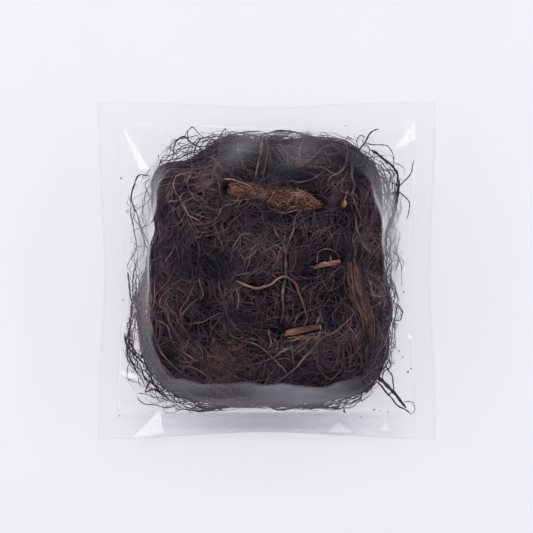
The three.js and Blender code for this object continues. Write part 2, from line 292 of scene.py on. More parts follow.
def make_piece(name, shape, material, replaces=(), painted_gleam=None):
    """A mesh of triangles or quads, with a tone for each vertex, that rides on the part."""
    verts, faces, tones = shape
    mesh = bpy.data.meshes.new(name)
    verts = np.ascontiguousarray(verts, np.float32) * MM
    faces = np.ascontiguousarray(faces, np.int32)
    mesh.vertices.add(len(verts))
    mesh.vertices.foreach_set("co", verts.ravel())
    mesh.loops.add(faces.size)
    mesh.loops.foreach_set("vertex_index", faces.ravel())
    mesh.polygons.add(len(faces))
    mesh.polygons.foreach_set("loop_start", np.arange(0, faces.size, faces.shape[1], dtype=np.int32))
    mesh.polygons.foreach_set("use_smooth", np.ones(len(faces), bool))
    for layer_name, values in (("tone", tones), ("painted_gleam", painted_gleam)):
        if values is not None:
            layer = mesh.attributes.new(layer_name, "FLOAT", "POINT")
            layer.data.foreach_set("value", np.ascontiguousarray(values, np.float32))
    mesh.update(calc_edges=True)
    mesh.validate()
    mesh.materials.append(material)
    piece = add_object(name, mesh)
    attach(piece, "root")
    if replaces:
        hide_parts(*replaces)
    return piece


def tubes(paths, radii, tone, sides=3):
    """Closed tubes along paths (count, points, 3), with a tone for each path or each point."""
    count, points, _ = paths.shape
    along = unit(np.gradient(paths, axis=1))
    guess = np.where(np.abs(along[:, 0, 2:3]) < 0.8, [0.0, 0.0, 1.0], [1.0, 0.0, 0.0])
    across = np.empty_like(paths)
    across[:, 0] = unit(np.cross(along[:, 0], guess))
    for i in range(1, points):
        across[:, i] = unit(across[:, i - 1] - along[:, i] * dot(across[:, i - 1], along[:, i]))
    third = np.cross(along, across)
    angles = np.arange(sides) * FULL_TURN / sides
    ring = across[:, :, None] * np.cos(angles)[:, None] + third[:, :, None] * np.sin(angles)[:, None]
    verts = paths[:, :, None] + ring * np.broadcast_to(radii, (count, points))[..., None, None]
    row = np.arange(points - 1)[:, None] * sides
    side = np.arange(sides)
    a = row + side
    b = row + (side + 1) % sides
    walls = np.stack([a, b, b + sides, a, b + sides, a + sides], -1).reshape(-1, 3)
    fan = np.arange(1, sides - 1)
    start = np.stack([np.zeros_like(fan), fan + 1, fan], -1)
    end = np.stack([np.zeros_like(fan), fan, fan + 1], -1) + (points - 1) * sides
    one = np.concatenate([walls, start, end])
    faces = one[None] + (np.arange(count) * points * sides)[:, None, None]
    tones = np.broadcast_to(np.asarray(tone, float).reshape(count, -1, 1), (count, points, sides))
    return verts.reshape(-1, 3), faces.reshape(-1, 3), tones.reshape(-1)


def join(shapes):
    base = np.cumsum([0] + [len(shape[0]) for shape in shapes])
    verts = np.concatenate([shape[0] for shape in shapes])
    faces = np.concatenate([shape[1] + offset for shape, offset in zip(shapes, base)])
    return verts, faces, np.concatenate([shape[2] for shape in shapes])


def taper_ends(points, tip=0.35, share=0.15):
    """Shares of a root's thickness along it, thinner at both ends."""
    t = np.linspace(0, 1, points)
    return tip + (1 - tip) * smooth(np.minimum(t, 1 - t), 0, share)


# Materials

def node(tree, kind, inputs=None, **settings):
    made = tree.nodes.new(kind)
    for key, value in settings.items():
        setattr(made, key, value)
    for key, value in (inputs or {}).items():
        if isinstance(value, bpy.types.NodeSocket):
            tree.links.new(value, made.inputs[key])
        else:
            made.inputs[key].default_value = value
    return made


def maths(tree, operation, *values):
    return node(tree, "ShaderNodeMath", dict(enumerate(values)), operation=operation).outputs[0]


def color_ramp(tree, factor, stops):
    ramp = node(tree, "ShaderNodeValToRGB", {0: factor})
    elements = ramp.color_ramp.elements
    while len(elements) < len(stops):
        elements.new(0.5)
    for element, (position, color) in zip(elements, stops):
        element.position = position
        element.color = (*color, 1.0)
    return ramp.outputs["Color"]


def noise(tree, place, scale, detail):
    inputs = {"Vector": place, "Scale": scale, "Detail": detail}
    return node(tree, "ShaderNodeTexNoise", inputs).outputs["Fac"]


def attribute(tree, name):
    return node(tree, "ShaderNodeAttribute", attribute_name=name).outputs["Fac"]


def bumped(tree, strength, distance, height, **more):
    inputs = {"Strength": strength, "Distance": distance, "Height": height, **more}
    return node(tree, "ShaderNodeBump", inputs).outputs[0]


def mixed(tree, factor, first, second):
    return node(tree, "ShaderNodeMixShader", {0: factor, 1: first, 2: second}).outputs[0]


def dry_surface(tree, color, roughness, bump, specular):
    inputs = {"Base Color": color, "Roughness": roughness, "Normal": bump, "Specular IOR Level": specular}
    return node(tree, "ShaderNodeBsdfPrincipled", inputs).outputs[0]


def new_material(name):
    """A material with no nodes but its place on the object."""
    material = bpy.data.materials.new(name)
    material.use_nodes = True
    tree = material.node_tree
    tree.nodes.clear()
    return material, tree, node(tree, "ShaderNodeTexCoord").outputs["Object"]


def finished(material, shader):
    node(material.node_tree, "ShaderNodeOutputMaterial", {"Surface": shader})
    return material


# Blue in the bark and tuft stops, strongest at their dark ends, is painted reflection: the bluish veil the
# film lays over the roots.
BARK_AND_VEIL_STOPS = [
    (0.0, (0.0125, 0.0118, 0.0230)),
    (0.35, (0.0450, 0.0330, 0.0560)),
    (0.65, (0.1580, 0.1000, 0.1280)),
    (1.0, (0.6000, 0.3650, 0.3400)),
]
TUFT_AND_VEIL_STOPS = [
    (0.0, (0.0125, 0.0108, 0.0185)),
    (0.35, (0.0500, 0.0320, 0.0450)),
    (0.65, (0.1850, 0.1030, 0.1080)),
    (1.0, (0.6500, 0.3700, 0.3000)),
]
WOOD_STOPS = [
    (0.0, (0.055, 0.0290, 0.0260)),
    (0.4, (0.245, 0.1160, 0.0960)),
    (0.8, (0.620, 0.3250, 0.2400)),
    (1.0, (0.920, 0.8000, 0.7000)),
]
# Blue in these stops is painted reflection of the film's veil.
PALE_AND_VEIL_STOPS = [
    (0.0, (0.085, 0.0520, 0.0540)),
    (0.5, (0.290, 0.1520, 0.1320)),
    (1.0, (0.600, 0.3400, 0.2720)),
]


# Near black for painted shade deep in the mat, with blue for painted reflection of the film's veil.
FELT_SHADE_AND_VEIL_STOPS = [(0.35, (0.005, 0.0045, 0.0068)), (0.7, (0.020, 0.015, 0.019))]
FLOOR_STOPS = [(0.0, (0.84, 0.84, 0.88)), (1.0, (0.86, 0.86, 0.90))]
MOTTLE_SCALE = 420.0
MOTTLE = 0.36  # spread of tone along a root
GRAIN_SCALE = 2600.0
GRAIN_BUMP = (0.35, 0.0001)  # strength, distance
GRAIN_ROUGH = 0.25
FELT_SCALE = 900.0
FELT_BUMP = (0.8, 0.0006)


def root_material(name, stops, roughness, specular):
    """Dry bark: a tone for each root, mottled along it, with a fine grain in its surface."""
    material, tree, place = new_material(name)
    uneven = maths(tree, "MULTIPLY_ADD", noise(tree, place, MOTTLE_SCALE, 3.0), MOTTLE, -MOTTLE / 2)
    color = color_ramp(tree, maths(tree, "ADD", attribute(tree, "tone"), uneven), stops)
    grain = noise(tree, place, GRAIN_SCALE, 2.0)
    rough = maths(tree, "MULTIPLY_ADD", grain, GRAIN_ROUGH, roughness - GRAIN_ROUGH / 2)
    return finished(material, dry_surface(tree, color, rough, bumped(tree, *GRAIN_BUMP, grain), specular))


def felt_material():
    """The felted inside of the mat, seen only between its roots, near black as painted shade for the depths
    there.
    """
    material, tree, place = new_material("felt")
    hairs = noise(tree, place, FELT_SCALE, 6.0)
    color = color_ramp(tree, hairs, FELT_SHADE_AND_VEIL_STOPS)
    return finished(material, dry_surface(tree, color, 0.95, bumped(tree, *FELT_BUMP, hairs), 0.1))


FILM_GLOSS = 0.004  # reflected straight on by each face of the film
FILM_HAZE = 0.001
FULL_HAZE = 0.32
# Painted highlights: where the film's painted gleam is, its face turns to the key light and it becomes more of
# a mirror and rougher.
GLEAM_GLOSS = 0.5
KEY_ELEVATION = math.radians(50)
GLEAM_TILT = math.pi / 4 - KEY_ELEVATION / 2  # of a face that sends the key light straight up
GLEAM_FACE = (0.0, math.sin(GLEAM_TILT), math.cos(GLEAM_TILT))
GLEAM_TURN = 8.0  # how fast a gleam turns the film's face to the key light
GLEAM_ROUGH = 0.2
FILM_ROUGH = 0.07
GRAZING_GLOSS = 0.5
GRAZING_POWER = 5.0
KNURL_SCALE = 350.0
KNURL_ANGLE = math.radians(38)
KNURL_DEPTH = 0.1  # against the ripples
RIPPLE_SCALE = 160.0
RIPPLE_BUMP = (0.09, 0.0012)
RIPPLE_STREAKS = 0.3
MILK_BACK = (0.90, 0.88, 0.98, 1)
MILK_THROUGH = (0.93, 0.91, 0.99, 1)
MILK_THROUGH_SHARE = 0.4


def film_material():
    """Clear film: a mirror that grows towards grazing views, milky by its tone, with a knurled seal. The tone
    also carries painted reflection and shade, and the painted gleam carries painted highlights.
    """
    material, tree, place = new_material("film")
    painted_gleam = attribute(tree, "painted_gleam")
    axes = node(tree, "ShaderNodeSeparateXYZ", {0: place})
    reach = maths(tree, "MAXIMUM", *(maths(tree, "ABSOLUTE", axes.outputs[i]) for i in (0, 1)))
    seal = maths(tree, "GREATER_THAN", reach, (SEAL_HALF - EDGE_BOW) * MM)
    turned = node(tree, "ShaderNodeMapping", {"Vector": place, "Rotation": (0, 0, KNURL_ANGLE)}).outputs[0]
    knurl = node(tree, "ShaderNodeTexWave", {"Vector": turned, "Scale": KNURL_SCALE}).outputs["Fac"]
    ripples = noise(tree, place, RIPPLE_SCALE, 3.0)
    height = maths(tree, "MULTIPLY_ADD", maths(tree, "MULTIPLY", knurl, seal), KNURL_DEPTH, ripples)
    normal = node(tree, "ShaderNodeNewGeometry").outputs["Normal"]
    # Painted highlights: the painted gleam turns the face to the key light.
    turn = maths(tree, "MINIMUM", maths(tree, "MULTIPLY", painted_gleam, GLEAM_TURN), 1.0)
    tilted = node(tree, "ShaderNodeMix", {0: turn, 4: normal, 5: GLEAM_FACE}, data_type="VECTOR").outputs[1]
    face = node(tree, "ShaderNodeVectorMath", {0: tilted}, operation="NORMALIZE").outputs[0]
    bump = bumped(tree, *RIPPLE_BUMP, height, Normal=face)
    facing = node(tree, "ShaderNodeLayerWeight", {"Blend": 0.5, "Normal": bump}).outputs["Facing"]
    grazing = maths(tree, "POWER", facing, GRAZING_POWER)
    mirror = maths(tree, "MULTIPLY_ADD", grazing, GRAZING_GLOSS, FILM_GLOSS)
    mirror = maths(tree, "MULTIPLY_ADD", painted_gleam, GLEAM_GLOSS, mirror)
    streaks = maths(tree, "MULTIPLY_ADD", ripples, RIPPLE_STREAKS, 1 - RIPPLE_STREAKS / 2)
    streaky = maths(tree, "MULTIPLY", attribute(tree, "tone"), streaks)
    haze_and_painted_light = maths(tree, "MULTIPLY_ADD", streaky, FULL_HAZE, FILM_HAZE)
    clear = node(tree, "ShaderNodeBsdfTransparent", {"Color": (1, 1, 1, 1)}).outputs[0]
    back = node(tree, "ShaderNodeBsdfDiffuse", {"Color": MILK_BACK}).outputs[0]
    through = node(tree, "ShaderNodeBsdfTranslucent", {"Color": MILK_THROUGH}).outputs[0]
    rough = maths(tree, "MULTIPLY_ADD", painted_gleam, GLEAM_ROUGH, FILM_ROUGH)
    gloss = node(tree, "ShaderNodeBsdfGlossy", {"Roughness": rough, "Normal": bump}).outputs[0]
    body = mixed(tree, haze_and_painted_light, clear, mixed(tree, MILK_THROUGH_SHARE, back, through))
    return finished(material, mixed(tree, mirror, body, gloss))


FLOOR_GLOW = 0.54
FLOOR_SCALE = 30.0


def floor_material():
    """A pale light table: much of its light is its own soft glow, so shadows on it stay faint."""
    material, tree, place = new_material("floor")
    color = color_ramp(tree, noise(tree, place, FLOOR_SCALE, 2.0), FLOOR_STOPS)
    paint = node(tree, "ShaderNodeBsdfDiffuse", {"Color": color}).outputs[0]
    glow = node(tree, "ShaderNodeEmission", {"Color": color, "Strength": FLOOR_GLOW}).outputs[0]
    return finished(material, node(tree, "ShaderNodeAddShader", {0: paint, 1: glow}).outputs[0])


bark = root_material("root_bark", BARK_AND_VEIL_STOPS, 0.62, 0.35)
brown_bark = root_material("brown_bark", TUFT_AND_VEIL_STOPS, 0.62, 0.35)
wood = root_material("rhizome_wood", WOOD_STOPS, 0.7, 0.25)
pale = root_material("pale_bark", PALE_AND_VEIL_STOPS, 0.6, 0.3)
felt = felt_material()
clear_film = film_material()


# Rhizome pieces: their axes in the photograph, which the rootlets lie round

FIBROUS_ROUTE = [(229, 188), (245, 190), (262, 193.5), (285, 199), (304, 202), (320, 205)]
CHIP_ROUTE = [(316, 266), (328, 263.5), (340.5, 261)]
STICK_ROUTE = [(286, 333.5), (304, 330), (320.5, 327)]
STUB_ROUTE = [(343, 208), (344, 203), (345, 199)]
PALE_ROUTE = [
    (236, 281), (246, 285.5), (256, 288), (270, 285), (283, 276.5), (293, 281), (300, 295), (308, 321)]
TRUNK_ROUTE = [(286, 256), (285.5, 266), (285.5, 276), (282.5, 299), (283, 312), (281, 323)]
# Room left in the mat for those pieces: route, half width, depth
BEDS = [
    (FIBROUS_ROUTE, 2.2, 4.2),
    (CHIP_ROUTE, 0.9, 2.4),
    (STICK_ROUTE, 1.2, 3.0),
    (STUB_ROUTE, 1.0, 2.6),
    (PALE_ROUTE, 0.5, 1.5),
    (TRUNK_ROUTE, 0.9, 2.4),
]
BED_SLOPE = 1.2


def bed_depth(x, y):
    """How far the rootlets sink to leave room for the pieces that lie on top of them."""
    depth = np.zeros(np.shape(x))
    for route, half_width, deep in BEDS:
        distance = line_distance(x, y, from_photo(route))
        depth = np.maximum(depth, deep * (1 - smooth(distance, half_width, half_width + BED_SLOPE)))
    return depth


# Rootlets

# How the rootlets are combed: a pixel, the angle of their line in degrees, and how far it holds
COMBING = [
    (358, 285, 95, 22),
    (374, 330, 80, 26),
    (330, 374, 8, 34),
    (286, 280, 90, 14),
    (160, 230, 85, 24),
    (163, 362, -52, 24),
    (192, 384, -15, 22),
    (175, 165, 42, 26),
    (265, 150, 80, 16),
    (300, 160, -20, 24),
    (355, 165, -55, 24),
    (300, 215, 35, 26),
    (215, 225, 30, 24),
    (220, 300, -40, 26),
    (330, 235, 45, 24),
    (255, 320, -35, 26),
    (300, 345, 40, 18),
]
# Hollows, dark in the photograph, where roots sink and get painted shade: pixel, half width, half height,
# depth
HOLLOWS = [
    (294, 173, 24, 8, 3.4),
    (268, 168, 10, 6, 1.6),
    (172, 358, 9, 7, 3.0),
    (279, 330, 10, 6, 2.6),
    (331, 326, 8, 5, 2.6),
    (236, 317, 12, 5, 2.2),
    (333, 255, 8, 5, 2.4),
    (308, 277, 9, 7, 2.2),
    (204, 306, 6, 12, 1.8),
    (345, 240, 9, 14, 2.0),
    (188, 190, 9, 6, 1.8),
    (360, 180, 10, 12, 1.6),
    (164, 215, 5, 12, 2.0),
]
HOLLOW_DEPTH = 1.5
WHORL_TURN = 2.6
WHORL_LEAN = 1.7
COMB_STRENGTH = 3.0
RIM_STRENGTH = 2.5
COMB_PULL = 0.35
START_SPREAD = 0.8
whorl = waves(3, 7, 90.0, 34.0)
hollows = waves(21, 9, 60.0, 22.0)
shades = waves(8, 8, 70.0, 18.0)

# Where the mat falls short of its rim: angle about its middle and half width in degrees, depth
RIM_DENTS = [
    (158, 16, 8.5),
    (180, 10, 3.2),
    (24, 15, 8.0),
    (0, 11, 5.0),
    (-22, 14, 3.6),
    (90, 22, 1.5),
    (124, 11, 7.5),
    (48, 6, 1.5),
    (-62, 8, 1.5),
]
# Round the mat, by the angle about its middle: how crowded the rim is with rootlets, how milky the
# front film's flank is, partly real milk and partly painted reflection, the share of the mat's reach
# at which that film turns down, and how far the rootlets reach past the mat
CROWDED, MILK_AND_SHEEN, SHOULDER, PAST_RIM = 1, 2, 3, 4
RIM = [
    (-75, 1.3, 1.05, 0.815, 2.6),
    (-58, 1.1, 0.75, 0.85, 1.4),
    (-48, 1.1, 0.12, 0.90, -0.6),
    (-35, 1.0, 0.04, 0.83, -0.8),
    (-25, 0.9, 0.04, 0.84, -2.2),
    (-14, 0.8, 0.08, 0.85, -0.8),
    (-3, 0.55, 0.45, 0.85, -4.2),
    (14, 0.4, 0.80, 0.845, -2.2),
    (30, 0.35, 0.80, 0.84, 2.2),
    (38, 0.55, 0.55, 0.84, 3.6),
    (47, 0.8, 0.12, 0.84, -0.6),
    (60, 1.1, 0.04, 0.84, 0.0),
    (68, 0.9, 0.06, 0.84, -0.8),
    (76, 0.9, 0.08, 0.84, 0.6),
    (84, 0.9, 0.10, 0.84, 1.8),
    (92, 0.9, 0.12, 0.84, 2.2),
    (100, 0.9, 0.10, 0.84, 1.4),
    (108, 0.8, 0.08, 0.84, -0.2),
    (115, 0.6, 0.05, 0.84, -0.8),
    (122, 0.5, 0.03, 0.84, 0.0),
    (134, 0.8, 0.12, 0.85, 0.0),
    (141, 0.25, 0.50, 0.85, -1.5),
    (150, 0.14, 0.90, 0.855, 3.6),
    (166, 0.18, 0.85, 0.86, 1.8),
    (182, 0.28, 0.75, 0.86, 3.0),
    (195, 0.5, 0.60, 0.86, 3.6),
    (208, 0.9, 0.55, 0.87, 6.0),
    (217, 0.9, 0.45, 0.90, 5.6),
    (228, 1.0, 0.50, 0.905, 4.6),
    (241, 1.1, 0.95, 0.835, 3.4),
    (256, 1.3, 1.08, 0.815, 3.0),
    (270, 1.3, 1.15, 0.81, 2.0),
]

RIM_WAVES = [(0.4, 9, 1.0), (0.3, 23, 0.0)]  # size, turns, phase


def rim_value(angle, column):
    table = np.array(RIM)
    return np.interp(np.degrees(angle), table[:, 0], table[:, column], period=360)


def rim_dent(p):
    """How far the mat's body is drawn in from its rim."""
    angle = np.arctan2(p[..., 1], p[..., 0])
    depth = sum(size * np.sin(turns * angle + phase) for size, turns, phase in RIM_WAVES)
    for middle, half_width, deep in RIM_DENTS:
        off = np.angle(np.exp(1j * (angle - math.radians(middle))))
        depth = depth + deep * np.exp(-(off / math.radians(half_width)) ** 2)
    return depth * smooth(plan_share(p), 0.6, 0.95)


def draw_in(p):
    """Moves points of the mat in from its rim where it is dented."""
    reach = np.maximum(np.hypot(p[..., 0], p[..., 1]), 1e-6)
    share = 1 - rim_dent(p) / np.maximum(reach, 20.0)
    return p * np.stack([share, share, np.ones_like(share)], -1)


def hollow_depth(x, y):
    depth = HOLLOW_DEPTH * smooth(hollows(x, y), 0.1, 1.6)
    for px, py, half_width, half_height, deep in HOLLOWS:
        middle = from_photo((px, py))
        across = (x - middle[0]) / (half_width * SEAL_PIXEL)
        upward = (y - middle[1]) / (half_height * SEAL_PIXEL)
        depth = depth + deep * np.exp(-across ** 2 - upward ** 2)
    return depth


def combed(p):
    """The line of the rootlets: whorls and the photograph's runs inside, round the mat at its rim."""
    place = settle(p)
    x, y = place[..., 0], place[..., 1]
    line = np.exp(2j * WHORL_TURN * whorl(x, y + WHORL_LEAN * p[..., 2]))
    on_top = smooth(p[..., 2], 0, 0.7 * MAT_RISE)
    for px, py, angle, radius in COMBING:
        middle = from_photo((px, py))
        near = np.exp(-((x - middle[0]) ** 2 + (y - middle[1]) ** 2) / (radius * SEAL_PIXEL) ** 2)
        line = line + COMB_STRENGTH * on_top * near * np.exp(2j * math.radians(angle))
    around = RIM_STRENGTH * smooth(plan_share(p), 0.8, 0.97)
    line = line - around * np.exp(2j * np.arctan2(p[..., 1], p[..., 0]))
    return flat_way(np.angle(line) / 2)


def starts(count, top, under):
    """Places on the slab: shares of them on its top and under it, and the rest round its rim."""
    x = rng.uniform(-1, 1, count) * MAT_HALF_X
    y = rng.uniform(-1, 1, count) * MAT_HALF_Y
    which = rng.random(count)
    p = on_slab(x, y, np.where(which < top, 1, -1))
    angle = rng.uniform(0, FULL_TURN, count)
    around = flat_way(angle) * rim_reach(angle)[:, None]
    around[:, 2] = rng.uniform(-0.6 * MAT_FALL, 0.75 * MAT_RISE, count)
    p = np.where((which < top + under)[:, None], p, around)
    return p / mat_share(p)[:, None]


def walk(begin, steps, step, curl, curl_length, comb):
    """Paths that wander over the slab's surface, turning this way and that and drawn to the combing."""
    count = len(begin)
    p = begin
    way = combed(p) * np.where(rng.random((count, 1)) < 0.5, -1.0, 1.0)
    way = unit(way + (1 - comb) * START_SPREAD * rng.normal(size=(count, 3)))
    keep = math.exp(-step / curl_length)
    bend = vary(count, 0, curl)
    paths = [p]
    for _ in range(steps):
        normal = outward(p)
        line = combed(p)
        line = line * np.where(dot(line, way) < 0, -1.0, 1.0)
        way = way + comb * COMB_PULL * (line - way)
        way = unit(way - normal * dot(way, normal))
        way = way * np.cos(bend * step) + np.cross(normal, way) * np.sin(bend * step)
        p = p + way * step
        p = p / mat_share(p)[:, None]
        bend = keep * bend + math.sqrt(1 - keep ** 2) * vary(count, 0, curl)
        paths.append(p)
    return np.stack(paths, axis=1)


def sink(paths, depth, radius):
    """Puts paths at their depths into the mat, deeper in its hollows and beds, never above it."""
    p = paths - outward(paths) * depth[..., None]
    over = mat_share(p, -(radius + 0.2))
    placed = settle(draw_in(p / np.maximum(over, 1.0)[..., None]))
    x, y = placed[..., 0], placed[..., 1]
    on_top = smooth(placed[..., 2], MAT_WAIST, MAT_WAIST + 0.7 * MAT_RISE)
    placed[..., 2] -= on_top * (hollow_depth(x, y) + bed_depth(x, y))
    return placed


def weave(count, points, step, low, high, swing, length):
    """Depths along roots that go over and under each other."""
    along = np.arange(points) * step
    phase = each(count, 0, FULL_TURN)
    wave = np.sin(FULL_TURN * along / each(count, 0.7 * length, 1.3 * length) + phase)
    return each(count, low, high) + swing * wave


def thickness(count, middle, spread):
    return middle * np.exp(vary(count, 0, spread))


# Painted shade: roots are darkened by their depth in the mat and in its hollows.
DEPTH_SHADE = 0.10  # tone lost for each millimetre of depth
PATCHES = 0.09


def shaded(paths, tone, depth):
    """A tone for each point of roots: patchy over the mat, and darkened by painted shade deep in it and in its
    hollows.
    """
    x, y = paths[..., 0], paths[..., 1]
    on_top = smooth(paths[..., 2], MAT_WAIST, MAT_WAIST + 0.4 * MAT_RISE)
    deep = depth + on_top * hollow_depth(x, y)
    return np.clip(tone + PATCHES * shades(x, y) - DEPTH_SHADE * deep, 0, 1)


def loose_roots(count, steps, step, curl, comb, depths, radius, tone, top, under):
    """Single rootlets over the whole mat."""
    slab = walk(starts(count, top, under), steps, step, curl, 4.5, comb)
    depth = np.maximum(weave(count, steps + 1, step, *depths, 0.5, 26.0), radius)
    paths = sink(slab, depth, radius)
    radii = thickness(count, radius, 0.25) * taper_ends(steps + 1)
    return tubes(paths, radii, shaded(paths, vary(count, tone, 0.12), depth))


def lock_roots(locks, members, steps, step, spread, depths, radius, tone, top, under):
    """Locks of rootlets that run side by side and part a little at their ends."""
    guides = walk(starts(locks, top, under), steps, step, 0.055, 12.0, 0.8)
    across = np.cross(outward(guides), unit(np.gradient(guides, axis=1)))
    count = locks * members
    owner = np.repeat(np.arange(locks), members)
    t = np.linspace(-1, 1, steps + 1)
    aside = vary(count, 0, spread) * (0.75 + 0.6 * t ** 2)
    aside = aside + 0.5 * spread * np.sin(t * each(count, 2, 6) + any_phase((count, 1)))
    slab = guides[owner] + across[owner] * aside[..., None]
    slab = slab / mat_share(slab)[..., None]
    depth = weave(locks, steps + 1, step, *depths, 0.5, 22.0)[owner] + np.abs(vary(count, 0, 0.6))
    depth = np.maximum(depth, radius)
    paths = sink(slab, depth, radius)
    radii = thickness(count, radius, 0.2) * taper_ends(steps + 1)
    tones = vary(locks, tone, 0.09)[owner] + vary(count, 0, 0.07)
    return tubes(paths, radii, shaded(paths, tones, depth))


TRIES = 8  # angles drawn for each one wanted
MOST_CROWDED = 1.3


def crowded_angles(count):
    """Angles about the mat's middle, more of them where its rim is crowded."""
    tries = TRIES * count
    angle = rng.uniform(0, FULL_TURN, tries)
    kept = angle[rng.random(tries) < rim_value(angle, CROWDED) / MOST_CROWDED]
    return kept[:count]


FOLD_BACK = 0.5  # how fast a rootlet comes back in from its limit, against how fast it went out
SHORT_OF_RIM = 2.4
PAST_OTHERS = 2.0
SHORT_OF_SEAL = (0.7, 3.0)
SOFT_LIMIT = 0.7


def hold_in(plan, far):
    """Turns each rootlet back at its own limit, which lies further out for that share of them."""
    angle = np.arctan2(plan[..., 1], plan[..., 0])
    reach = np.hypot(plan[..., 0], plan[..., 1])
    count = len(plan)
    own = -np.abs(vary(count, 0, SHORT_OF_RIM))
    own = np.where(rng.random((count, 1)) < far, rng.exponential(PAST_OTHERS, (count, 1)), own)
    rim = rim_reach(angle)
    seal = square_reach(angle, SEAL_HALF) - each(count, *SHORT_OF_SEAL)
    limit = np.minimum(rim + rim_value(angle, PAST_RIM) + own + SOFT_LIMIT, seal)
    past = reach - limit
    held = limit + (1 - FOLD_BACK) / 2 * past - (1 + FOLD_BACK) / 2 * np.hypot(past, 1.0)
    return plan * (held / np.maximum(reach, 1e-6))[..., None]


RIM_CURL_LENGTH = 3.0
RIM_WAVE = (8.0, 20.0)
RIM_SWAY = 1.8
SWAY_TURN = 6.28  # about a full turn
RIM_STEER = 0.22
RIM_STEER_MOST = 0.9


def rim_roots(count, steps, step, curl, along, far, depths, radius, tone):
    """Rootlets in the gap between the films, which run along the mat's rim or curl out of it."""
    angle = crowded_angles(count)
    depth = rng.uniform(*depths, count)
    reach = rim_reach(angle) + rim_value(angle, PAST_RIM) - depth
    p = np.stack([reach * np.cos(angle), reach * np.sin(angle)], -1)
    turn_way = np.where(rng.random(count) < 0.5, -1.0, 1.0)
    heading = angle + turn_way * (along * math.pi / 2 + (1 - along) * rng.normal(0, 0.9, count))
    bend = rng.normal(0, curl, count)
    keep = math.exp(-step / RIM_CURL_LENGTH)
    wave = rng.uniform(*RIM_WAVE, count)
    phase = any_phase(count)
    paths = [p]
    for i in range(steps):
        angle = np.arctan2(p[:, 1], p[:, 0])
        sway = RIM_SWAY * np.sin(i * step * SWAY_TURN / wave + phase)
        wanted_reach = rim_reach(angle) + rim_value(angle, PAST_RIM) - depth + sway
        off = RIM_STEER * (wanted_reach - np.hypot(p[:, 0], p[:, 1]))
        off = np.clip(off, -RIM_STEER_MOST, RIM_STEER_MOST)
        wanted = angle + turn_way * (math.pi / 2 - off)
        heading = heading + bend * step + 0.4 * along * np.sin(wanted - heading)
        p = p + step * np.stack([np.cos(heading), np.sin(heading)], -1)
        bend = keep * bend + math.sqrt(1 - keep ** 2) * rng.normal(0, curl, count)
        paths.append(p)
    plan = hold_in(np.stack(paths, axis=1), far)
    x, y = plan[..., 0], plan[..., 1]
    radii = thickness(count, radius, 0.35) * taper_ends(steps + 1, 0.3, 0.5)
    z = between_films(x, y, radii, each(count, 0.15, 0.85))
    return tubes(np.stack([x, y, z], -1), radii, vary(count, tone, 0.1))


def laid_path(route, radius, share, points):
    """A path between the films through pixels of the photograph."""
    height = np.full(len(route), MAT_TOP)
    for _ in range(4):
        place = from_photo(route, height)
        height = between_films(place[:, 0], place[:, 1], radius, share)
    line = smooth_line(place, points)
    return np.column_stack([line, between_films(line[:, 0], line[:, 1], radius, share)])


LAID_SIDES = 5
UNDER_FRONT = 0.99
MIDWAY = 0.5


def laid_root(route, radius, tone, share=UNDER_FRONT):
    """One root laid through listed pixels of the photograph, thinning to its far end."""
    points = 8 * len(route)
    t = np.linspace(0, 1, points)
    knots = 1 + 0.14 * np.sin(8 * t * len(route) + any_phase()) + 0.1 * rng.normal(size=points)
    radii = radius * taper_ends(points, 0.5, 0.12) * np.linspace(1.1, 0.75, points) * knots
    path = laid_path(route, radius, share, points)
    path[:, :2] += 0.16 * np.sin(np.outer(t, rng.uniform(6, 18, 2)) + any_phase(2))
    tones = tone + 0.1 * np.sin(t * rng.uniform(5, 16) + any_phase())
    return tubes(path[None], radii[None], tones[None], LAID_SIDES)


CORE_DEPTH = 6.5
CORE_ROWS = 50
CORE_COLUMNS = 100


def mat_core():
    """The felted inside: the mat's form made smaller and uneven."""
    lat = np.linspace(-math.pi / 2, math.pi / 2, CORE_ROWS)[1:-1, None]
    lon = np.arange(CORE_COLUMNS)[None] * FULL_TURN / CORE_COLUMNS
    ball = np.stack([np.cos(lat) * np.cos(lon), np.cos(lat) * np.sin(lon), np.sin(lat) + 0 * lon], -1)
    poles = np.array([[0.0, 0.0, -1.0], [0.0, 0.0, 1.0]])
    p = np.concatenate([ball.reshape(-1, 3), poles]) * [MAT_HALF_X, MAT_HALF_Y, MAT_RISE]
    p = p / mat_share(p, -CORE_DEPTH)[:, None]
    p = p + outward(p) * 0.7 * hollows(p[:, 0] + p[:, 2], p[:, 1])[:, None]
    row = np.arange(CORE_ROWS - 3)[:, None] * CORE_COLUMNS
    column = np.arange(CORE_COLUMNS)[None]
    after = (column + 1) % CORE_COLUMNS
    a, b = row + column, row + after
    c, d = b + CORE_COLUMNS, a + CORE_COLUMNS
    body = np.stack([a, b, c, a, c, d], -1).reshape(-1, 3)
    last = (CORE_ROWS - 3) * CORE_COLUMNS
    bottom = np.stack([after[0], column[0], np.full(CORE_COLUMNS, len(p) - 2)], -1)
    top = np.stack([last + column[0], last + after[0], np.full(CORE_COLUMNS, len(p) - 1)], -1)
    return settle(draw_in(p)), np.concatenate([body, bottom, top]), np.zeros(len(p))


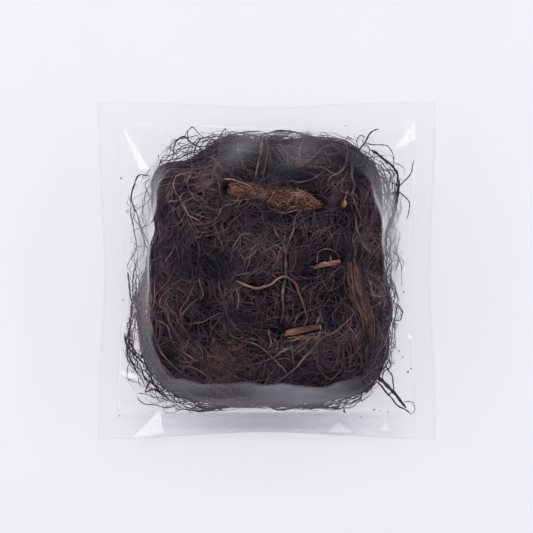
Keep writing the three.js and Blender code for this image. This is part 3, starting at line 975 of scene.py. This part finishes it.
# Roots that stand out in the photograph: pixels, radius, tone, and how high between the films where
# that isn't right under the front one
TOP_ROOTS = [
    (TRUNK_ROUTE, 0.9, 0.67, 0.93),
    ([(294, 228), (291, 237), (287, 248), (285.5, 262)], 0.45, 0.66),
    ([(274, 227), (277, 234), (282, 242), (285.5, 251), (286, 260)], 0.5, 0.66),
    ([(231, 336), (243, 341), (256, 344), (266, 352), (275, 360), (288, 373)], 0.3, 0.76),
    ([(269, 330), (270, 338), (271, 345), (268, 350)], 0.32, 0.78),
    ([(323, 338), (310, 352), (297, 366), (285, 377), (274, 384)], 0.6, 0.68),
    ([(199, 279), (201, 287), (203, 294), (200, 302)], 0.3, 0.74),
    ([(191, 174), (187.5, 180), (189, 190), (196, 201)], 0.42, 0.7),
    ([(263.5, 134), (261, 150), (258, 166), (254, 180)], 0.5, 0.66),
    ([(266, 137), (268, 150), (266, 162), (263, 174)], 0.42, 0.62),
    ([(320, 174), (311, 180), (299, 182), (286, 181)], 0.42, 0.6),
    ([(224, 179.5), (233, 179.5), (243, 183), (252, 188)], 0.4, 0.95),
    ([(168, 202), (178, 200.5), (187, 201), (193, 197)], 0.42, 0.72),
    ([(356, 216), (358, 233), (366, 248), (378, 258)], 0.4, 0.7),
    ([(352, 163), (352, 175), (354, 186), (352, 196)], 0.6, 0.6),
    ([(147, 325), (152, 345), (163, 366), (180, 382)], 0.5, 0.68),
    ([(151, 322), (157, 343), (169, 362), (188, 377)], 0.45, 0.64),
    ([(218, 215), (224, 206), (233, 204), (240, 198)], 0.4, 0.7),
    ([(317, 263), (318, 254), (324, 249), (334, 251), (339, 257)], 0.34, 0.72),
    ([(320, 276), (310, 279), (299, 277), (291, 281)], 0.3, 0.62),
    ([(236, 208), (245, 198), (256, 192), (263, 184)], 0.3, 0.6),
    ([(262, 201), (266, 192), (272, 184), (279, 182)], 0.34, 0.66),
    ([(275, 213), (284, 205), (287, 194), (284, 186)], 0.26, 0.6),
]
# The same for those at the rim, which lie midway between the films
RIM_ROOTS = [
    ([(357, 153), (366, 140.5), (374, 130), (379, 129.5)], 0.42, 0.5),
    ([(365, 142.5), (375, 145), (387, 145.5), (392.5, 153), (394, 163)], 0.25, 0.6),
    ([(359, 149), (357, 140), (360, 135), (364, 137), (362.5, 143)], 0.22, 0.55),
    ([(400, 186), (403, 182.5), (411, 172.5), (414, 159)], 0.3, 0.6),
    ([(398, 192), (402, 194), (407.5, 199), (408.5, 214), (406, 219)], 0.26, 0.45),
    ([(392, 251), (399, 258.5), (398, 264), (394.5, 271)], 0.34, 0.55),
    ([(396, 303), (402, 311), (400, 320), (395, 320)], 0.34, 0.5),
    ([(374, 374), (382, 381), (392, 390), (406, 407.5)], 0.85, 0.5),
    ([(376, 381), (384, 389), (395.5, 403), (411.5, 414)], 0.42, 0.52),
    ([(404, 403), (408, 401), (414, 405), (415, 411), (411, 413.5)], 0.2, 0.6),
    ([(386, 357), (391, 366), (384, 372), (383, 381)], 0.3, 0.5),
    ([(386, 365), (393, 380), (393, 390), (388, 396)], 0.34, 0.5),
    ([(264, 401), (273, 408), (300, 407), (315, 403)], 0.42, 0.45),
    ([(328, 407), (339, 407), (340, 401), (348, 398), (366, 390)], 0.32, 0.5),
    ([(125, 333), (127, 345), (138, 358), (150, 368), (160, 380)], 0.5, 0.45),
    ([(128, 340), (134, 350), (146, 360), (156, 374)], 0.4, 0.45),
    ([(150, 380), (146.5, 392), (154, 389), (164, 397)], 0.38, 0.45),
    ([(137, 397), (145, 404), (157, 405), (168, 408), (179, 404)], 0.24, 0.55),
    ([(128, 272), (130, 294), (133, 309), (129, 322)], 0.4, 0.5),
    ([(150, 176), (138, 176), (134, 185), (131.5, 200), (138.5, 219), (144, 241), (143, 258)], 0.34, 0.52),
    ([(131, 206), (130.5, 214), (133, 224), (135, 252), (129, 262), (127, 270)], 0.26, 0.52),
    ([(188, 142), (189, 130), (192, 127), (196, 131), (206, 139)], 0.25, 0.5),
    ([(216, 142), (222, 133), (225, 129), (226, 136)], 0.28, 0.5),
    ([(206, 146), (222, 138), (240, 133), (262, 131)], 0.4, 0.6),
    ([(264, 134), (282, 131), (300, 133), (318, 139), (330, 146), (352, 158)], 0.5, 0.5),
    ([(399, 180), (397, 200), (393, 216), (388, 229), (385.5, 242), (387, 258)], 0.75, 0.38),
    ([(398, 186), (396, 206), (390, 222), (386, 236)], 0.5, 0.4),
    ([(379, 175), (384, 180), (388, 188), (387, 195), (382, 194), (380, 187)], 0.55, 0.35),
    ([(372, 150), (382, 158), (392, 165), (398, 178), (397, 186)], 0.6, 0.38),
]
COIL_MIDDLE = (332, 354)
COIL_RADIUS = (8.0, 15.0)
COIL_TURN = (0.55, 1.15)
GOLD_TUFT = [(352, 258), (355, 278), (360, 298), (369, 324), (368, 346)]
GOLD_TUFT_HALF = 9.0
BROWN_TUFT_MIDDLE = (222, 355)
BROWN_TUFT_HALF = (15.0, 11.0)
BROWN_TUFT_HEADING = math.radians(-38)


def coil_roots(count):
    """Roots wound in a ring."""
    shapes = []
    for _ in range(count):
        radius = rng.uniform(*COIL_RADIUS)
        sweep = np.linspace(0, FULL_TURN * rng.uniform(*COIL_TURN), 14) + rng.uniform(0, FULL_TURN)
        middle = np.array(COIL_MIDDLE) + rng.normal(0, 3.0, 2)
        wobble = radius * (1 + 0.14 * np.sin(2 * sweep + any_phase()) + 0.07 * np.sin(5 * sweep))
        ring = np.column_stack([np.cos(sweep), 1.05 * np.sin(sweep)])
        route = middle + wobble[:, None] * ring
        path = laid_path(route, 0.35, 0.96 + 0.03 * rng.random(), 40)
        shapes.append(tubes(path[None], thickness(1, 0.3, 0.2), [rng.normal(0.6, 0.1)]))
    return join(shapes)


def tuft_roots(count):
    """A lock of golden fibres that lie side by side."""
    shapes = []
    for _ in range(count):
        aside = rng.normal(0, GOLD_TUFT_HALF / 2)
        begin, end = sorted(rng.uniform(0, 1, 2))
        if end - begin < 0.35:
            continue
        full = smooth_line(GOLD_TUFT, 60)[int(begin * 59):int(end * 59) + 1]
        sway = 1.6 * np.sin(np.linspace(0, rng.uniform(2, 8), len(full)) + any_phase())
        route = full + np.column_stack([aside + sway, np.zeros(len(full))])
        path = laid_path(route[::2], 0.3, 0.955 + 0.035 * rng.random(), 16)
        tone = rng.normal(0.64, 0.1) + 0.1 * (1 - begin) - 0.015 * abs(aside)
        shapes.append(tubes(path[None], thickness(1, 0.18, 0.3) * taper_ends(16), [tone]))
    return join(shapes)


def hair_roots(count):
    """A mound of fine brown hairs that lie roughly one way."""
    shapes = []
    for _ in range(count):
        at = np.array(BROWN_TUFT_MIDDLE) + rng.normal(0, 1, 2) * BROWN_TUFT_HALF
        heading = BROWN_TUFT_HEADING + rng.normal(0, 0.55)
        bend = rng.normal(0, 0.35)
        route = [at]
        for _ in range(4):
            route.append(route[-1] + 4.5 * np.array([math.cos(heading), -math.sin(heading)]))
            heading += bend
        path = laid_path(route, 0.2, 0.96 + 0.035 * rng.random(), 14)
        shapes.append(tubes(path[None], thickness(1, 0.15, 0.25) * taper_ends(14), [rng.normal(0.62, 0.1)]))
    return join(shapes)


def root_pieces():
    deep = loose_roots(
        count=1150, steps=16, step=2.6, curl=0.10, comb=0.5, depths=(2.4, 5.6), radius=0.33, tone=0.56,
        top=0.6, under=0.25)
    locks = lock_roots(
        locks=185, members=9, steps=18, step=2.2, spread=1.2, depths=(0.6, 3.0), radius=0.25, tone=0.65,
        top=0.66, under=0.2)
    curled = loose_roots(
        count=1250, steps=24, step=2.0, curl=0.115, comb=0.3, depths=(0.4, 2.8), radius=0.24, tone=0.66,
        top=0.68, under=0.2)
    hairs = loose_roots(
        count=1150, steps=20, step=2.0, curl=0.12, comb=0.3, depths=(0.3, 2.2), radius=0.18, tone=0.66,
        top=0.7, under=0.2)
    rim = rim_roots(
        count=400, steps=20, step=1.5, curl=0.16, along=0.6, far=0.25, depths=(0.0, 7.5),
        radius=0.24, tone=0.53)
    stray = rim_roots(
        count=400, steps=14, step=0.9, curl=0.3, along=0.0, far=0.8, depths=(0.0, 3.0),
        radius=0.14, tone=0.55)
    chosen = [laid_root(*root) for root in TOP_ROOTS]
    chosen += [laid_root(*root, share=MIDWAY) for root in RIM_ROOTS]
    shapes = {
        "root_felt": mat_core(),
        "roots_deep": deep,
        "roots_locks": locks,
        "roots_curled": curled,
        "roots_hairs": hairs,
        "roots_rim": join([rim, stray]),
        "roots_chosen": join(chosen + [coil_roots(14)]),
        "roots_tufts": join([tuft_roots(190), hair_roots(220)]),
    }
    own_materials = {"root_felt": felt, "roots_tufts": brown_bark}
    for name, shape in shapes.items():
        make_piece(name, shape, own_materials.get(name, bark), ["root_mat"])


root_pieces()


# Rhizome pieces

FIBROUS_PROFILE = [
    (0, 1.8), (0.06, 3.1), (0.17, 3.7), (0.3, 3.3), (0.38, 2.9), (0.48, 4.4),
    (0.62, 5.9), (0.75, 5.8), (0.87, 4.0), (0.96, 2.0), (1, 0.9)]
FIBROUS_SQUASH = 0.7
FIBROUS_FIBRES = 780
FIBROUS_CROSSING = 0.4  # share of the fibres that wrap round it
PIECE_TOP = MAT_TOP - 0.35


def lying_path(route, radii, points, squash=1.0):
    """A path whose top is level with the mat's, through pixels of the photograph."""
    line = smooth_line(from_photo(route), points)
    return np.column_stack([line, PIECE_TOP - squash * radii])


def fibrous_rhizome():
    """Two growths end to end, wrapped in a felt of coarse golden fibres, most of them lengthways."""
    points = 60
    t = np.linspace(0, 1, points)
    radii = np.interp(t, *np.transpose(FIBROUS_PROFILE))
    axis = lying_path(FIBROUS_ROUTE, radii, points, FIBROUS_SQUASH)
    body = tubes(axis[None], 0.78 * FIBROUS_SQUASH * radii[None], [0.03], 14)
    count, steps = FIBROUS_FIBRES, 10
    crossing = rng.random((count, 1)) < FIBROUS_CROSSING
    begin = each(count, -0.02, 0.94)
    span = np.where(crossing, each(count, 0.03, 0.1), each(count, 0.08, 0.22))
    along = np.minimum(begin + span * np.linspace(0, 1, steps), each(count, 0.94, 1.05))
    inside = np.clip(along, 0, 1)
    middle = np.stack([np.interp(inside, t, axis[:, i]) for i in range(3)], -1)
    way = axis[-1] - axis[0]
    middle = middle + way * (along - inside)[..., None]
    across = unit(np.cross([0.0, 0.0, 1.0], way))
    turn = np.where(crossing, vary(count, 0, 16), vary(count, 0, 4))
    around = each(count, -0.2, math.pi + 0.2) + turn * (along - begin)
    around = around + 0.14 * np.sin(along * each(count, 20, 70) + any_phase((count, 1)))
    fray = np.linspace(-1, 1, steps) ** 4 * each(count, 0, 1) ** 3
    reach = np.interp(inside, t, radii) * each(count, 0.78, 1.0) + 0.1 + 1.3 * fray
    up = np.array([0.0, 0.0, FIBROUS_SQUASH])
    paths = middle + across * (reach * np.cos(around))[..., None] + up * (reach * np.sin(around))[..., None]
    paths[..., 2] = np.minimum(paths[..., 2], MAT_TOP)
    # Painted highlight on the side towards the key light, on the right lobe.
    painted_highlight = 0.42 * np.exp(-((inside - 0.75) / 0.08) ** 2) * smooth(np.cos(around), 0.2, 0.6)
    end_lit = 0.12 * (1 - smooth(inside, 0.03, 0.2))
    tones = np.clip(vary(count, 0.48, 0.2) + painted_highlight + end_lit, 0.02, 0.86)
    fibres = tubes(paths, thickness(count, 0.18, 0.4) * taper_ends(steps), tones)
    return join([body, fibres])


def wood_rod(route, radius, tones, slivers=16):
    """Bare wood: a rod under slivers that end unevenly, with a tone for each part of its length."""
    points = 24
    t = np.linspace(0, 1, points)
    tone = np.interp(t, np.linspace(0, 1, len(tones)), tones)
    path = lying_path(route, radius * np.ones(points), points)
    uneven = 1 + 0.1 * np.sin(9 * t + radius) + 0.06 * np.sin(23 * t)
    radii = 0.8 * radius * (uneven * taper_ends(points, 0.7, 0.05))
    shapes = [tubes(path[None], radii[None], 0.8 * tone[None], 9)]
    across = unit(np.cross([0.0, 0.0, 1.0], path[-1] - path[0]))
    for _ in range(slivers):
        begin = rng.integers(0, 8)
        part = slice(begin, begin + rng.integers(9, 17))
        around = rng.uniform(-0.4, math.pi + 0.4) + rng.normal(0, 0.25) * t[part, None]
        side = across * np.cos(around) + np.array([0.0, 0.0, 1.0]) * np.sin(around)
        sliver = path[part] + radius * rng.uniform(0.7, 0.95) * side
        thick = rng.uniform(0.2, 0.36) * radius * taper_ends(len(sliver), 0.3, 0.3)
        shapes.append(tubes(sliver[None], thick[None], (tone[part] + rng.normal(0, 0.12))[None], 5))
    return join(shapes)


def cut_end(route, radius, tones):
    """The face of a cut at the end of a rod: pale wood round a dark pith."""
    place = from_photo(route)
    end = np.append(place[-1], PIECE_TOP - radius)
    way = np.append(unit(place[-1] - place[-2]), 0.0)
    face = np.array([[end - 0.2 * way, end + 0.12 * way]])
    pith = np.array([[end - 0.2 * way, end + 0.16 * way]])
    wood_face = tubes(face, [[0.92 * radius] * 2], [tones[0]], 10)
    return join([wood_face, tubes(pith, [[0.4 * radius] * 2], [tones[1]], 8)])


def splinters(middle, spread, length, heading, count):
    """Thin split slivers beside a piece of wood."""
    shapes = []
    for _ in range(count):
        at = np.array(middle) + rng.normal(0, 1, 2) * spread
        angle = heading + rng.normal(0, 0.16)
        half = 0.5 * length * rng.uniform(0.6, 1.2) * np.array([math.cos(angle), -math.sin(angle)])
        bow = rng.normal(0, 0.08) * np.array([half[1], -half[0]])
        path = laid_path([at - half, at + bow, at + half], 0.25, 0.97, 8)
        radii = thickness(1, 0.24, 0.25) * taper_ends(8)
        shapes.append(tubes(path[None], radii, [rng.uniform(0.35, 0.75)], 4))
    return join(shapes)


def rhizome_pieces():
    make_piece("fibrous_growth", fibrous_rhizome(), wood, ["rhizome_fibrous"])
    chip = join([
        wood_rod([(316, 266.5), (322, 265), (330, 263.5)], 0.95, [0.35, 0.5, 0.75, 1.0, 1.0]),
        wood_rod([(326, 264.5), (333, 263), (340.5, 261)], 1.05, [1.0, 0.65, 0.6, 0.65, 0.8]),
        splinters((322, 266), (4, 1), 10, 0.2, 7),
        laid_root([(330, 262), (330.5, 258), (330.5, 255)], 0.26, 0.7),
    ])
    make_piece("wood_chip", chip, wood, ["rhizome_chip"])
    stick = join([
        wood_rod(STICK_ROUTE, 1.2, [0.75, 0.65, 0.42, 0.36, 0.42, 0.5], 22),
        cut_end(STICK_ROUTE, 1.15, (0.9, 0.1)),
        splinters((290, 334.5), (3, 1.0), 10, 0.2, 6),
        splinters((302, 338), (5, 1.3), 14, 0.12, 9),
    ])
    make_piece("wood_stick", stick, wood, ["rhizome_stick"])
    stub = join([
        wood_rod([(342.5, 208.5), (343, 203), (344, 199.5)], 0.85, [0.2, 0.35, 0.45, 0.3], 8),
        wood_rod([(343.8, 207), (345, 203), (345, 200)], 0.7, [1.0, 1.0, 1.0], 8),
        laid_root([(345, 200), (346, 195), (347.5, 190)], 0.3, 0.55),
    ])
    make_piece("wood_stub", stub, wood, ["rhizome_stub"])
    points = 90
    t = np.linspace(0, 1, points)
    knots = 1 + 0.1 * np.sin(31 * t) + 0.08 * np.sin(67 * t + 1.0)
    radii = 0.53 * taper_ends(points, 0.35, 0.1) * np.linspace(1.05, 0.8, points) * knots
    path = lying_path(PALE_ROUTE, radii, points)
    path[:, 1] += 0.12 * np.sin(23 * t) + 0.08 * np.sin(51 * t)
    tones = 0.86 - 0.52 * smooth(t, 0.3, 0.8) + 0.12 * np.sin(19 * t)
    rootlet = tubes(path[None], radii[None], tones[None], 8)
    make_piece("pale_rootlet", rootlet, pale, ["pale_root"])


rhizome_pieces()


# Crumbs

CRUMB_PIXELS = [
    (119.5, 416), (411, 363), (411, 369), (408, 372), (403, 357), (350, 409), (374, 410), (380, 411),
    (388, 412), (361, 417), (137, 161), (121, 178), (345, 126), (404, 292), (123, 300), (123, 350), (152, 412),
]
CRUMB_COUNT = 60


def crumbs():
    """Specks of broken root on the back film, round the mat."""
    chosen = from_photo(CRUMB_PIXELS, SEAL_HEIGHT)
    angle = rng.uniform(0, FULL_TURN, CRUMB_COUNT)
    mix = rng.uniform(0.05, 0.9, CRUMB_COUNT)
    reach = rim_reach(angle) * (1 - mix) + (square_reach(angle, SEAL_HALF) - 1.5) * mix
    loose = np.column_stack([reach * np.cos(angle), reach * np.sin(angle)])
    place = np.concatenate([chosen, loose])
    size = np.concatenate([rng.uniform(0.3, 0.55, len(chosen)), rng.uniform(0.14, 0.28, len(loose))])
    corners = np.array([[1, 0, 0], [0, 1, 0], [-1, 0, 0], [0, -1, 0], [0, 0, 0.8], [0, 0, -0.8]], float)
    sides = [(i, (i + 1) % 4) for i in range(4)]
    faces = np.array([[a, b, 4] for a, b in sides] + [[b, a, 5] for a, b in sides])
    height = film_height(place[:, 0], place[:, 1], -1) + FILM + 0.8 * size
    verts = corners * rng.uniform(0.6, 1.3, (len(place), 6, 1)) * size[:, None, None]
    verts = verts + np.column_stack([place, height])[:, None]
    all_faces = faces + 6 * np.arange(len(place))[:, None, None]
    tones = np.repeat(rng.uniform(0.3, 0.7, len(place)), 6)
    return verts.reshape(-1, 3), all_faces.reshape(-1, 3), tones


make_piece("root_crumbs", crumbs(), bark)


# Films

FRONT_CELLS = 166
BACK_CELLS = 80
CELL_POWER = 0.8
SEAL_FLUTTER = 0.25
# Folds in the front film: pixels from and to, half width, height
FOLDS = [
    ((121, 124), (151, 172), 2.0, 1.6),
    ((415, 121), (392, 152), 4.2, 2.0),
    ((392, 150), (384, 168), 3.0, 1.0),
    ((121, 372), (142, 379), 2.2, 0.9),
    ((119, 404), (150, 388), 3.2, 1.0),
    ((413, 412), (390, 388), 3.6, 1.2),
]
# Facets of those folds given painted highlights, turned to catch the light: three corner pixels, how much, and
# how soft their edges are
FACETS = [
    ((119.5, 122), (141, 171), (151.5, 171), 0.55, 0.6),
    ((414.5, 121.5), (415.5, 139), (393, 151), 0.7, 0.6),
    ((415, 139), (402, 146), (394, 164), 0.15, 1.5),
    ((121, 370.5), (140, 374), (139, 379.5), 0.5, 0.8),
    ((121, 370.5), (139, 379.5), (123, 376.5), 0.5, 0.8),
    ((160, 410), (163, 433.5), (132, 438.5), 0.6, 0.6),
    ((119, 405), (138, 392), (143, 400), 0.12, 1.5),
    ((320, 436), (338, 418), (362, 436), 0.18, 3.0),
    ((386, 413), (374, 434), (396, 434), 0.14, 3.0),
    ((408, 331), (412.5, 338), (406, 340), 0.3, 1.0),
]
FLAP_TOP = 63.2
FLAP_SPREAD = 36.0
FLAP_FADE = 3.0
# Painted glints: random points of the flank given painted highlights.
SPARKLES = 0.004  # share of the flank's points that catch the light where it is crowded
SPARKLE_STRENGTH = (0.05, 0.28)
STREAK_LENGTH = 7.0
STREAK_HEIGHT = 0.32
PLEAT_LENGTH = 2.2
PLEAT_HEIGHT = 0.2
LUMP_HEIGHT = 0.05
WANDER = 3.0  # how far the streaks and pleats wander
bends = waves(31, 8, 70.0, 26.0)
lumps = waves(32, 9, 30.0, 12.0)
flutter = waves(33, 8, 60.0, 22.0)


def facet(x, y, corners, soft):
    """1 inside a triangle and 0 outside it."""
    place = from_photo(corners, SEAL_HEIGHT)
    inside = np.full(np.shape(x), np.inf)
    turn = np.sign(np.cross(place[1] - place[0], place[2] - place[0]))
    for start, end in zip(place, np.roll(place, -1, axis=0)):
        edge = (end - start) / np.linalg.norm(end - start)
        inside = np.minimum(inside, turn * (edge[0] * (y - start[1]) - edge[1] * (x - start[0])))
    return smooth(inside, -0.5 * soft, soft)


def ridge(x, y, fold):
    start, end, half_width, height = fold
    route = from_photo([start, end], SEAL_HEIGHT)
    stretch = route[1] - route[0]
    along = (x - route[0][0]) * stretch[0] + (y - route[0][1]) * stretch[1]
    t = np.clip(along / stretch.dot(stretch), 0, 1)
    side = np.maximum(0, 1 - line_distance(x, y, route) / half_width)
    return height * side * np.sin(math.pi * t) ** 0.6


def front_folds(x, y):
    """How far the front film stands off its plain form: streaks, pleats, lumps and corner folds."""
    plan = plan_share(flat(x, y))
    flank = smooth(plan, 0.78, 0.88) * (1 - smooth(plan, 1.02, 1.1))
    across = FULL_TURN * MAT_HALF_X * plan / STREAK_LENGTH
    streaks = STREAK_HEIGHT * flank * (1 + np.sin(across + WANDER * bends(x, y)))
    skirt = smooth(plan, 0.95, 1.02) * (1 - smooth(plan, 1.08, 1.14))
    around = MAT_HALF_X * np.arctan2(y, x) / PLEAT_LENGTH
    pleats = PLEAT_HEIGHT * skirt * (1 + np.sin(around + WANDER * bends(x, y)))
    top = LUMP_HEIGHT * (1 - smooth(plan, 0.8, 0.95)) * np.clip(1 + lumps(x, y), 0, 2)
    return streaks + pleats + top + sum(ridge(x, y, fold) for fold in FOLDS)


SHOULDER_BENDS = 0.012
SHOULDER_LUMPS = 0.010
SEAL_MILK = 0.005
EDGE_MILK = 0.16
FLAP_MILK_AND_SHADE = 1.15
# Painted highlight along the inner edge of the seal.
SEAL_LINE = 0.16
# Painted reflections on the top, laid on as milk: pixel, radius, amount
TOP_SHEEN = [
    ((240, 149), 9.0, 0.52),
    ((301, 149), 11.0, 0.34),
    ((246, 246), 15.0, 0.035),
    ((192, 348), 9.0, 0.05),
    ((345, 240), 6.0, 0.05),
    ((228, 322), 9.0, 0.04),
]


def sideways(x, y):
    """1 on the left and right flanks and 0 on those at the top and bottom."""
    return smooth(np.abs(x) / MAT_HALF_X - np.abs(y) / MAT_HALF_Y, -0.1, 0.1)


def shoulder_share(x, y):
    """Share of the mat's reach at which the front film turns down, unevenly."""
    uneven = SHOULDER_BENDS * bends(x, y) + SHOULDER_LUMPS * lumps(x, y)
    return rim_value(np.arctan2(y, x), SHOULDER) + uneven


def flank_milk_and_sheen(x, y):
    """How milky the front film is, partly real milk and partly painted reflection: its flanks as the
    photograph shows them, a painted bright line at their shoulder, and painted sheen in soft patches on top.
    """
    plan = plan_share(flat(x, y))
    angle = np.arctan2(y, x)
    shoulder = shoulder_share(x, y)
    flank = smooth(plan, shoulder - 0.004, shoulder + 0.012) * (1 - smooth(plan, 0.94, 1.0))
    side = sideways(x, y)
    streaks = side * lumps(1.3 * x, 0.25 * y) + (1 - side) * lumps(0.25 * x, 1.3 * y)
    amount = rim_value(angle, MILK_AND_SHEEN) * np.clip(0.95 + 0.42 * streaks, 0.3, 1.7)
    # Painted bright line along the shoulder, laid on as milk.
    line = (0.1 + 0.4 * side) * rim_value(angle, MILK_AND_SHEEN) * np.exp(-((plan - shoulder - 0.012) / 0.008) ** 2)
    sheen = np.zeros_like(x)
    for pixel, radius, strength in TOP_SHEEN:
        middle = from_photo(pixel)
        along = (x - middle[0]) * 0.8 + (y - middle[1]) * 0.6
        across = (y - middle[1]) * 0.8 - (x - middle[0]) * 0.6
        sheen = sheen + strength * np.exp(-((along / radius) ** 2 + (2.0 * across / radius) ** 2))
    return flank * amount + line + sheen


def front_painted_gleam(x, y):
    """Painted highlights where the front film is turned to catch the key light: facets of its folds, its left
    shoulder and sparkles.
    """
    plan = plan_share(flat(x, y))
    angle = np.arctan2(y, x)
    shoulder = shoulder_share(x, y)
    bright = np.maximum(rim_value(angle, MILK_AND_SHEEN) - 0.4, 0) * sideways(x, y)
    # Painted highlight along the shoulder.
    line = 0.6 * bright * np.exp(-((plan - shoulder - 0.012) / 0.009) ** 2)
    painted_highlight = rng.random(np.shape(x)) < SPARKLES * rim_value(angle, CROWDED)
    strength = rng.uniform(*SPARKLE_STRENGTH, np.shape(x))
    sparkles = np.where((plan > shoulder) & (plan < 0.99) & painted_highlight, strength, 0)
    facets = sum(amount * facet(x, y, corners, soft) for *corners, amount, soft in FACETS)
    return facets + line + sparkles


def film_piece(name, stands_for, side, cells):
    """A film as a closed thin sheet over the plan, finer towards its edges."""
    line = np.linspace(-1, 1, cells + 1)
    line = np.sign(line) * np.abs(line) ** CELL_POWER
    u, v = np.meshgrid(line, line, indexing="ij")
    angle = np.arctan2(v, u)
    bow = EDGE_BOW / POUCH_HALF * np.cos(2 * angle) ** 2 * np.maximum(np.abs(u), np.abs(v)) ** 2
    x, y = POUCH_HALF * u * (1 - bow), POUCH_HALF * v * (1 - bow)
    inward = np.hypot(x, y) / square_reach(angle, SEAL_HALF)
    seal = smooth(inward, 0.99, 1.015)
    z = film_height(x, y, side) + SEAL_FLUTTER * seal * flutter(x, y)
    # Heavy milk on the bottom flap: partly the milky seal and partly painted shade, the dark band of shade
    # under the flap.
    flap_shade = smooth(-y, FLAP_TOP - 0.6, FLAP_TOP + 0.6) * np.exp(-(x / FLAP_SPREAD) ** 2)
    bottom_edge = POUCH_HALF - EDGE_BOW
    flap_shade = flap_shade * (1 - 0.5 * smooth(-y, bottom_edge - FLAP_FADE, bottom_edge))
    edge = smooth(np.maximum(np.abs(u), np.abs(v)), 0.985, 1.0)
    # Real milk on the seal and the edge, painted shade on the flap, and on the front film painted reflection.
    milk_and_painted_light = SEAL_MILK * seal + FLAP_MILK_AND_SHADE * flap_shade + EDGE_MILK * edge
    # Painted highlights, on the front film only.
    painted_gleam = np.zeros_like(x)
    if side > 0:
        z = z + (1 - seal) * front_folds(x, y)
        milk_and_painted_light = milk_and_painted_light + flank_milk_and_sheen(x, y)
        broken = smooth(bends(x, y), -0.5, 0.8)
        painted_gleam = front_painted_gleam(x, y) + SEAL_LINE * broken * np.exp(-((inward - 1) / 0.008) ** 2)
    upper, lower = (z + FILM, z) if side > 0 else (z, np.maximum(z - FILM, 0.0))
    layers = [np.stack([x, y, height], -1).reshape(-1, 3) for height in (upper, lower)]
    size = cells + 1
    index = np.arange(size * size).reshape(size, size)
    a, b, c, d = index[:-1, :-1], index[1:, :-1], index[1:, 1:], index[:-1, 1:]
    top = np.stack([a, b, c, d], -1).reshape(-1, 4)
    bottom = top[:, ::-1] + size * size
    rim = np.concatenate([index[:-1, 0], index[-1, :-1], index[:0:-1, -1], index[0, :0:-1]])
    ahead = np.roll(rim, -1)
    wall = np.stack([rim, rim + size * size, ahead + size * size, ahead], -1)
    shape = (np.concatenate(layers), np.concatenate([top, bottom, wall]), np.tile(milk_and_painted_light.ravel(), 2))
    return make_piece(name, shape, clear_film, [stands_for], np.tile(painted_gleam.ravel(), 2))


FILMS = [
    ("front_film", "pouch_front_film", 1, FRONT_CELLS),
    ("back_film", "pouch_back_film", -1, BACK_CELLS),
]
for film in FILMS:
    film_piece(*film)


# Stage

FLOOR_HALF = 3.0
CAMERA_HOLE = (0.92, 0.975)  # heights of a direction between which the light overhead fades out
CAMERA_HOLE_LIGHT = 0.04
STUDIO_LIGHT = 0.275
RING_HEIGHTS = (0.5, 0.85)  # heights between which the light of the walls grows
RING_LIGHT = (0.15, 1.35)
# Soft bright patches of the studio's walls: direction, tightness, radiance
LOBES = [
    ((-1, 0, 0.2), 10.0, 1.6),
    ((1, 0, 0.2), 10.0, 1.4),
    ((0, math.cos(KEY_ELEVATION), math.sin(KEY_ELEVATION)), 30.0, 7.0),
]
STUDIO_COLOR = (0.97, 0.97, 1.0, 1)


def make_floor():
    mesh = bpy.data.meshes.new("floor")
    corners = [(FLOOR_HALF * x, FLOOR_HALF * y, 0) for x, y in ((-1, -1), (1, -1), (1, 1), (-1, 1))]
    mesh.from_pydata(corners, [], [(0, 1, 2, 3)])
    mesh.materials.append(floor_material())
    floor = add_object("floor", mesh)


def lobe(tree, direction, toward, tightness, radiance):
    inputs = {0: direction, 1: Vector(toward).normalized()}
    aim = node(tree, "ShaderNodeVectorMath", inputs, operation="DOT_PRODUCT")
    near = maths(tree, "POWER", maths(tree, "MAXIMUM", aim.outputs["Value"], 0.0), tightness)
    return maths(tree, "MULTIPLY", near, radiance)


def ranged(tree, value, before, after):
    """The value moved from one range to another, and held within it."""
    return node(tree, "ShaderNodeMapRange", dict(enumerate((value, *before, *after)))).outputs[0]


def make_world():
    """A studio of soft light: a key behind the top edge, a softer one at each side, and dark overhead."""
    world = bpy.data.worlds.new("studio")
    bpy.context.scene.world = world
    world.use_nodes = True
    tree = world.node_tree
    tree.nodes.clear()
    direction = node(tree, "ShaderNodeTexCoord").outputs["Generated"]
    height = node(tree, "ShaderNodeSeparateXYZ", {0: direction}).outputs[2]
    hole = ranged(tree, height, CAMERA_HOLE, (1.0, CAMERA_HOLE_LIGHT))
    total = ranged(tree, height, RING_HEIGHTS, RING_LIGHT)
    for row in LOBES:
        total = maths(tree, "ADD", total, lobe(tree, direction, *row))
    strength = maths(tree, "MULTIPLY", maths(tree, "MULTIPLY", total, hole), STUDIO_LIGHT)
    light = node(tree, "ShaderNodeBackground", {"Color": STUDIO_COLOR, "Strength": strength})
    node(tree, "ShaderNodeOutputWorld", {"Surface": light.outputs[0]})


# Strips of light: name, place, length, width, radiated power
STRIPS = [
    ("left_strip", (-0.75, 0.05, 0.34), 1.3, 0.06, 1.6),
    ("right_strip", (0.75, 0.05, 0.34), 1.3, 0.06, 1.4),
    ("top_strip", (0.0, 0.85, 0.5), 1.3, 0.06, 1.2),
]


def make_strips():
    """Long soft lights round the top and sides, which the film's bends catch."""
    for name, place, length, width, power in STRIPS:
        data = bpy.data.lights.new(name, "AREA")
        data.shape = "RECTANGLE"
        data.size, data.size_y = length, width
        data.energy = power
        strip = add_object(name, data)
        strip.location = place
        strip.rotation_euler = (-Vector(place)).to_track_quat("-Z", "Y").to_euler()


def make_camera():
    data = bpy.data.cameras.new("camera")
    data.lens = LENS
    data.sensor_width = SENSOR
    data.clip_start = 0.01
    camera = add_object("camera", data)
    camera.location = (CAMERA_X * MM, CAMERA_Y * MM, CAMERA_HEIGHT * MM)
    bpy.context.scene.camera = camera


make_floor()
make_world()
make_strips()
make_camera()
bpy.context.scene.view_settings.view_transform = "Standard"
